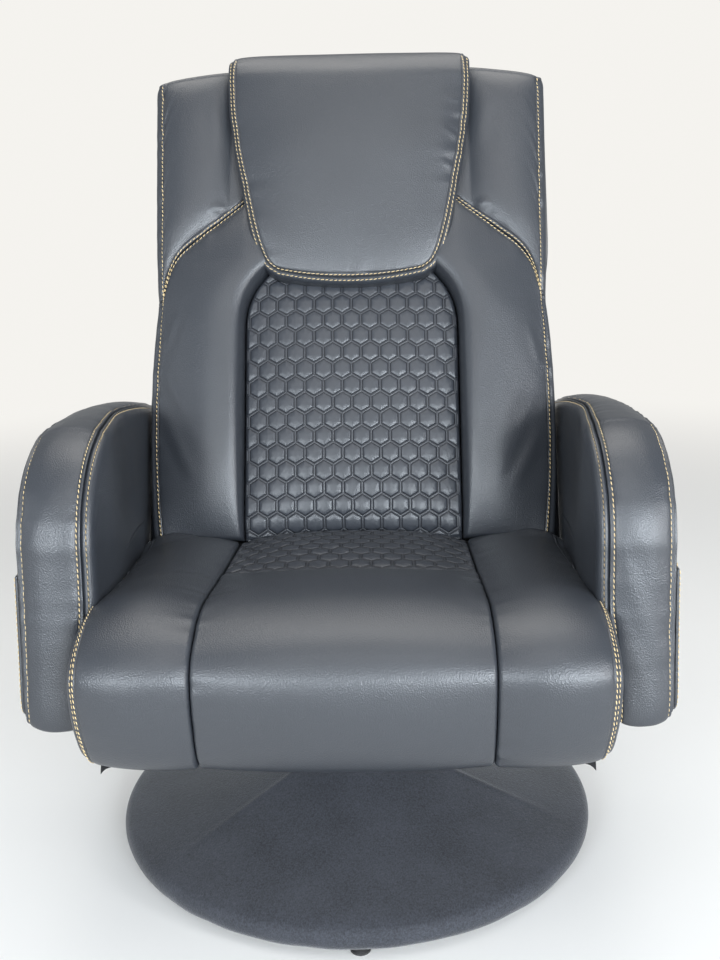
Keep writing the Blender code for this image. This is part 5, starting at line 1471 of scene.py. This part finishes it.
def arm_pad(side, name):
    near, deep = arm_ring(0.0), arm_ring(ARM_ROUND)
    places, section, across = arm_section()
    seams = [places[np.argmin(np.abs(section[:, 0] - at))] for at in ARM_SEAMS]
    ring_reach = reach_of(np.vstack([near, near[:1]]))[:-1]
    s, t = ring_reach[None, :], places[:, None]
    d = np.minimum(*(np.abs(t - at) for at in seams))
    on_band = ((t > seams[0]) & (t < seams[1])).astype(float)
    over = np.sin(math.pi * t / places[-1])
    ground = np.clip((0.262 - near[:, 1]) / 0.01, 0, 1)[None]
    seed = 130 if side > 0 else 150
    lift = topstitched(ARM_ROW, 0.0030)(d) + 0.0018 * bell(d - 0.0023, 0.0010) + 0 * s
    lift += puckered(s, d - ARM_ROW, 0.0006, 0.012, 0.012, seed) * (0.4 + 0.6 * on_band)
    lift += 0.0006 * wander(s, 0.12, seed + 1) * over
    lift += 0.0003 * wander(s + 3 * t, 0.04, seed + 2) * on_band
    lift += 0.0008 * wander(s, 0.05, seed + 3) * ground * on_band
    lift -= 0.0055 * ground * over**2
    out = unit(near - deep)
    x = np.clip(ARM_IN_X + section[:, 0:1] - across[:, 0:1] * lift, ARM_IN_X, ARM_IN_X + ARM_WIDTH)
    x = x - arm_bulge(near[None, :, 0], near[None, :, 1]) * (1 - (x - ARM_IN_X) / ARM_WIDTH)
    yz = near[None] + (deep - near)[None] * (section[:, 1:2] / ARM_ROUND)[..., None]
    yz = yz + out[None] * (across[:, 1:2] * lift)[..., None]
    band = np.concatenate([x[..., None], yz], -1)
    spine_low, spine_high = np.array((-0.090, 0.405)), np.array((0.100, 0.395))
    run = spine_high - spine_low
    spine = spine_low + run * np.clip(((near - spine_low) @ run) / (run @ run), 0, 1)[:, None]
    wave = wander(ring_reach, 0.05, seed + 4)
    inner_side = arm_side(band[0], spine, ARM_IN_X, 1, wave)
    outer_side = arm_side(band[-1], spine, ARM_IN_X + ARM_WIDTH, -1, wave)
    soft_piece(name, ring_body(name, [*inner_side[::-1], *band, *outer_side], side))
    rows = []
    for at in (seam + way * ARM_ROW for seam in seams for way in (-1, 1)):
        k = int(np.argmin(np.abs(places - at)))
        normal = np.concatenate([np.full((len(near), 1), -across[k, 0]), out * across[k, 1]], -1)
        order = unbroken(near[:, 1] > (0.258 if at < places[-1] / 2 else 0.254))
        rows.append(((band[k] + normal * 0.0002)[order], normal[order]))
    return mirrored(side, rows)


def arm_pocket(side, name):
    """A flat patch with a hemmed mouth, sewn round its sides and foot."""
    outline = smooth_path(arm_outline(0.013), 16)
    outline = outline[outline[:, 1] < POCKET_TOP]
    cut = np.flatnonzero(np.linalg.norm(np.diff(outline, axis=0), axis=-1) > 0.02)
    if len(cut):
        outline = np.roll(outline, -(cut[0] + 1), axis=0)
    loop = np.vstack([outline, outline[:1]])
    loop = along(loop, np.linspace(0, reach_of(loop)[-1], 500, endpoint=False))
    centre, size = (loop.max(axis=0) + loop.min(axis=0)) / 2, (loop.max(axis=0) - loop.min(axis=0)) / 2
    edge = (
        (0.0006, 0), (0, 0.0012), (0.0004, 0.0026), (0.0014, 0.0032), (0.0026, 0.0029), (0.0034, 0.0022),
        (0.0046, 0.0030), (0.008, 0.0033), (0.014, 0.0032),
    )
    rings = []
    for inset, rise in edge:
        ring = centre + (loop - centre) * (1 - inset / size)
        rings.append(np.concatenate([np.full((len(loop), 1), POCKET_X + rise), ring], -1))
    for share in (0.85, 0.6, 0.35, 0.1):
        ring = centre + (loop - centre) * share * (1 - edge[-1][0] / size)
        hem = 0.0008 * bell(ring[:, 1] - POCKET_HEM_Z, 0.0016)
        rings.append(np.concatenate([(POCKET_X + edge[-1][1] - hem)[:, None], ring], -1))
    soft_piece(name, ring_body(name, rings, side))
    normal = np.concatenate([np.full((len(loop), 1), 0.7), 0.7 * unit(loop - centre)], -1)
    row = rings[3] + 0.0001 * normal
    order = unbroken(row[:, 2] < POCKET_TOP - 0.006)
    mouth_y = loop[np.abs(loop[:, 1] - POCKET_HEM_Z) < 0.004, 0]
    y = np.linspace(mouth_y.min() + 0.006, mouth_y.max() - 0.010, 200)
    mouth = np.stack([np.full(200, POCKET_X + 0.0035), y, np.full(200, POCKET_HEM_Z)], -1)
    rows = [(row[order], normal[order]), (mouth, np.tile((1.0, 0, 0), (200, 1)))]
    tack = np.arange(18)[:, None]
    for end in (y[0], y[-1]):
        bar = (POCKET_X + 0.0036, end, POCKET_HEM_Z - 0.006) + tack * (0, 0.0006, 0.0011)
        rows.append((bar, np.tile((1.0, 0, 0), (18, 1))))
    return mirrored(side, rows)


arm_rows = pair(arm_pad, "arm_pad")
pocket_rows = pair(arm_pocket, "arm_pocket")
stitches("arm_stitching", arm_rows)
stitches("pocket_stitching", pocket_rows)


# Studio: a pale floor that fades into white paper, broad lights above, two windows behind the camera that
# draw the leather's highlights, a weak fill on the left, a tall light on the right, and the photo's camera.
PAPER = (0.91, 0.895, 0.86)


def studio():
    scene = bpy.context.scene
    finish, shader, place = begin_finish("studio_floor", (0.85, 0.85, 0.84), 0.8)
    shader.inputs["Specular IOR Level"].default_value = 0.1
    tree = finish.node_tree
    reach = Wire.node(tree, "ShaderNodeVectorMath", {"operation": "LENGTH"}, {0: place}, "Value")
    share = Wire.node(
        tree,
        "ShaderNodeMapRange",
        {"interpolation_type": "SMOOTHSTEP"},
        {"Value": reach, "From Min": 1.3, "From Max": 3.2, "To Min": 0.15},
    )
    paper = Wire.node(tree, "ShaderNodeEmission", {}, {"Color": (*PAPER, 1), "Strength": 1.0})
    near = Wire(tree, shader.outputs["BSDF"])
    faded = Wire.node(tree, "ShaderNodeMixShader", {}, {0: share, 1: near, 2: paper})
    tree.links.new(faded.socket, tree.nodes["Material Output"].inputs["Surface"])
    mesh = bpy.data.meshes.new("studio_floor")
    far = 40.0
    corners = [(x * far, y * far, 0) for x, y in ((-1, -1), (1, -1), (1, 1), (-1, 1))]
    mesh.from_pydata(corners, [], [(0, 1, 2, 3)])
    mesh.materials.append(finish)
    placed("studio_floor", mesh)
    world = bpy.data.worlds.new("studio_world")
    scene.world = world
    world.use_nodes = True
    tree = world.node_tree
    tree.nodes.clear()
    seen = Wire.node(tree, "ShaderNodeLightPath", output="Is Camera Ray")
    soft = Wire.node(tree, "ShaderNodeBackground", {}, {"Color": (0.94, 0.97, 1, 1), "Strength": 0.40})
    white = Wire.node(tree, "ShaderNodeBackground", {}, {"Color": (*PAPER, 1), "Strength": 1.0})
    mixed = Wire.node(tree, "ShaderNodeMixShader", {}, {0: seen, 1: soft, 2: white})
    tree.links.new(mixed.socket, tree.nodes.new("ShaderNodeOutputWorld").inputs["Surface"])
    for name, place, target, size, power, color, spread in (
        ("front", (-0.6, -2.5, 1.9), (0, 0, 0.6), (1.6, 1.2), 6, (1, 0.99, 0.98), 180),
        ("overhead", (0.2, -1.35, 2.6), (0, -0.3, 0.4), (2.0, 1.1), 12, (1, 0.98, 0.95), 180),
        ("ceiling", (0, 0.7, 2.9), (0, 0, 0.3), (2.4, 1.6), 29, (1, 0.97, 0.92), 180),
        ("window_right", (1.15, -2.8, 1.10), (0.1, 0, 0.50), (1.2, 1.1), 20, (0.85, 0.93, 1), 90),
        ("window_left", (-1.2, -2.8, 1.10), (-0.1, 0, 0.5), (1.0, 1.1), 13, (0.85, 0.93, 1), 90),
        ("left", (-2.4, -0.9, 1.3), (0, 0, 0.5), (1.2, 1.2), 6, (0.9, 0.95, 1), 180),
        ("right", (2.3, -1.9, 1.2), (0, 0, 0.6), (0.6, 1.4), 34, (0.95, 0.97, 1), 180),
    ):
        light = bpy.data.lights.new(name, "AREA")
        light.shape = "RECTANGLE"
        light.size, light.size_y = size
        light.energy = power
        light.color = color
        light.spread = math.radians(spread)
        lamp = placed(name, light)
        lamp.visible_camera = False
        lamp.location = place
        lamp.rotation_euler = (Vector(target) - lamp.location).to_track_quat("-Z", "Y").to_euler()
    scene.view_settings.view_transform = "Standard"


def photo_camera():
    """The photograph's view: its height, tilt, small turn and roll were fitted to the model's edges."""
    yaw, pitch, roll = (math.radians(angle) for angle in (-1.406, 14.72, -1.148))
    x, y, z = 0.046, -1.353, 0.826
    ahead = Vector((math.sin(yaw) * math.cos(pitch), math.cos(yaw) * math.cos(pitch), -math.sin(pitch)))
    level = Vector((math.cos(yaw), -math.sin(yaw), 0))
    upright = level.cross(ahead)
    right = math.cos(roll) * level + math.sin(roll) * upright
    top = math.cos(roll) * upright - math.sin(roll) * level
    data = bpy.data.cameras.new("photo_camera")
    data.sensor_width = 36
    data.lens = 41.5
    data.dof.use_dof = False
    camera = placed("photo_camera", data)
    turn = Matrix((right, top, -ahead)).transposed().to_4x4()
    camera.matrix_world = Matrix.Translation((x, y + AXIS_Y, z)) @ turn
    bpy.context.scene.camera = camera


studio()
photo_camera()
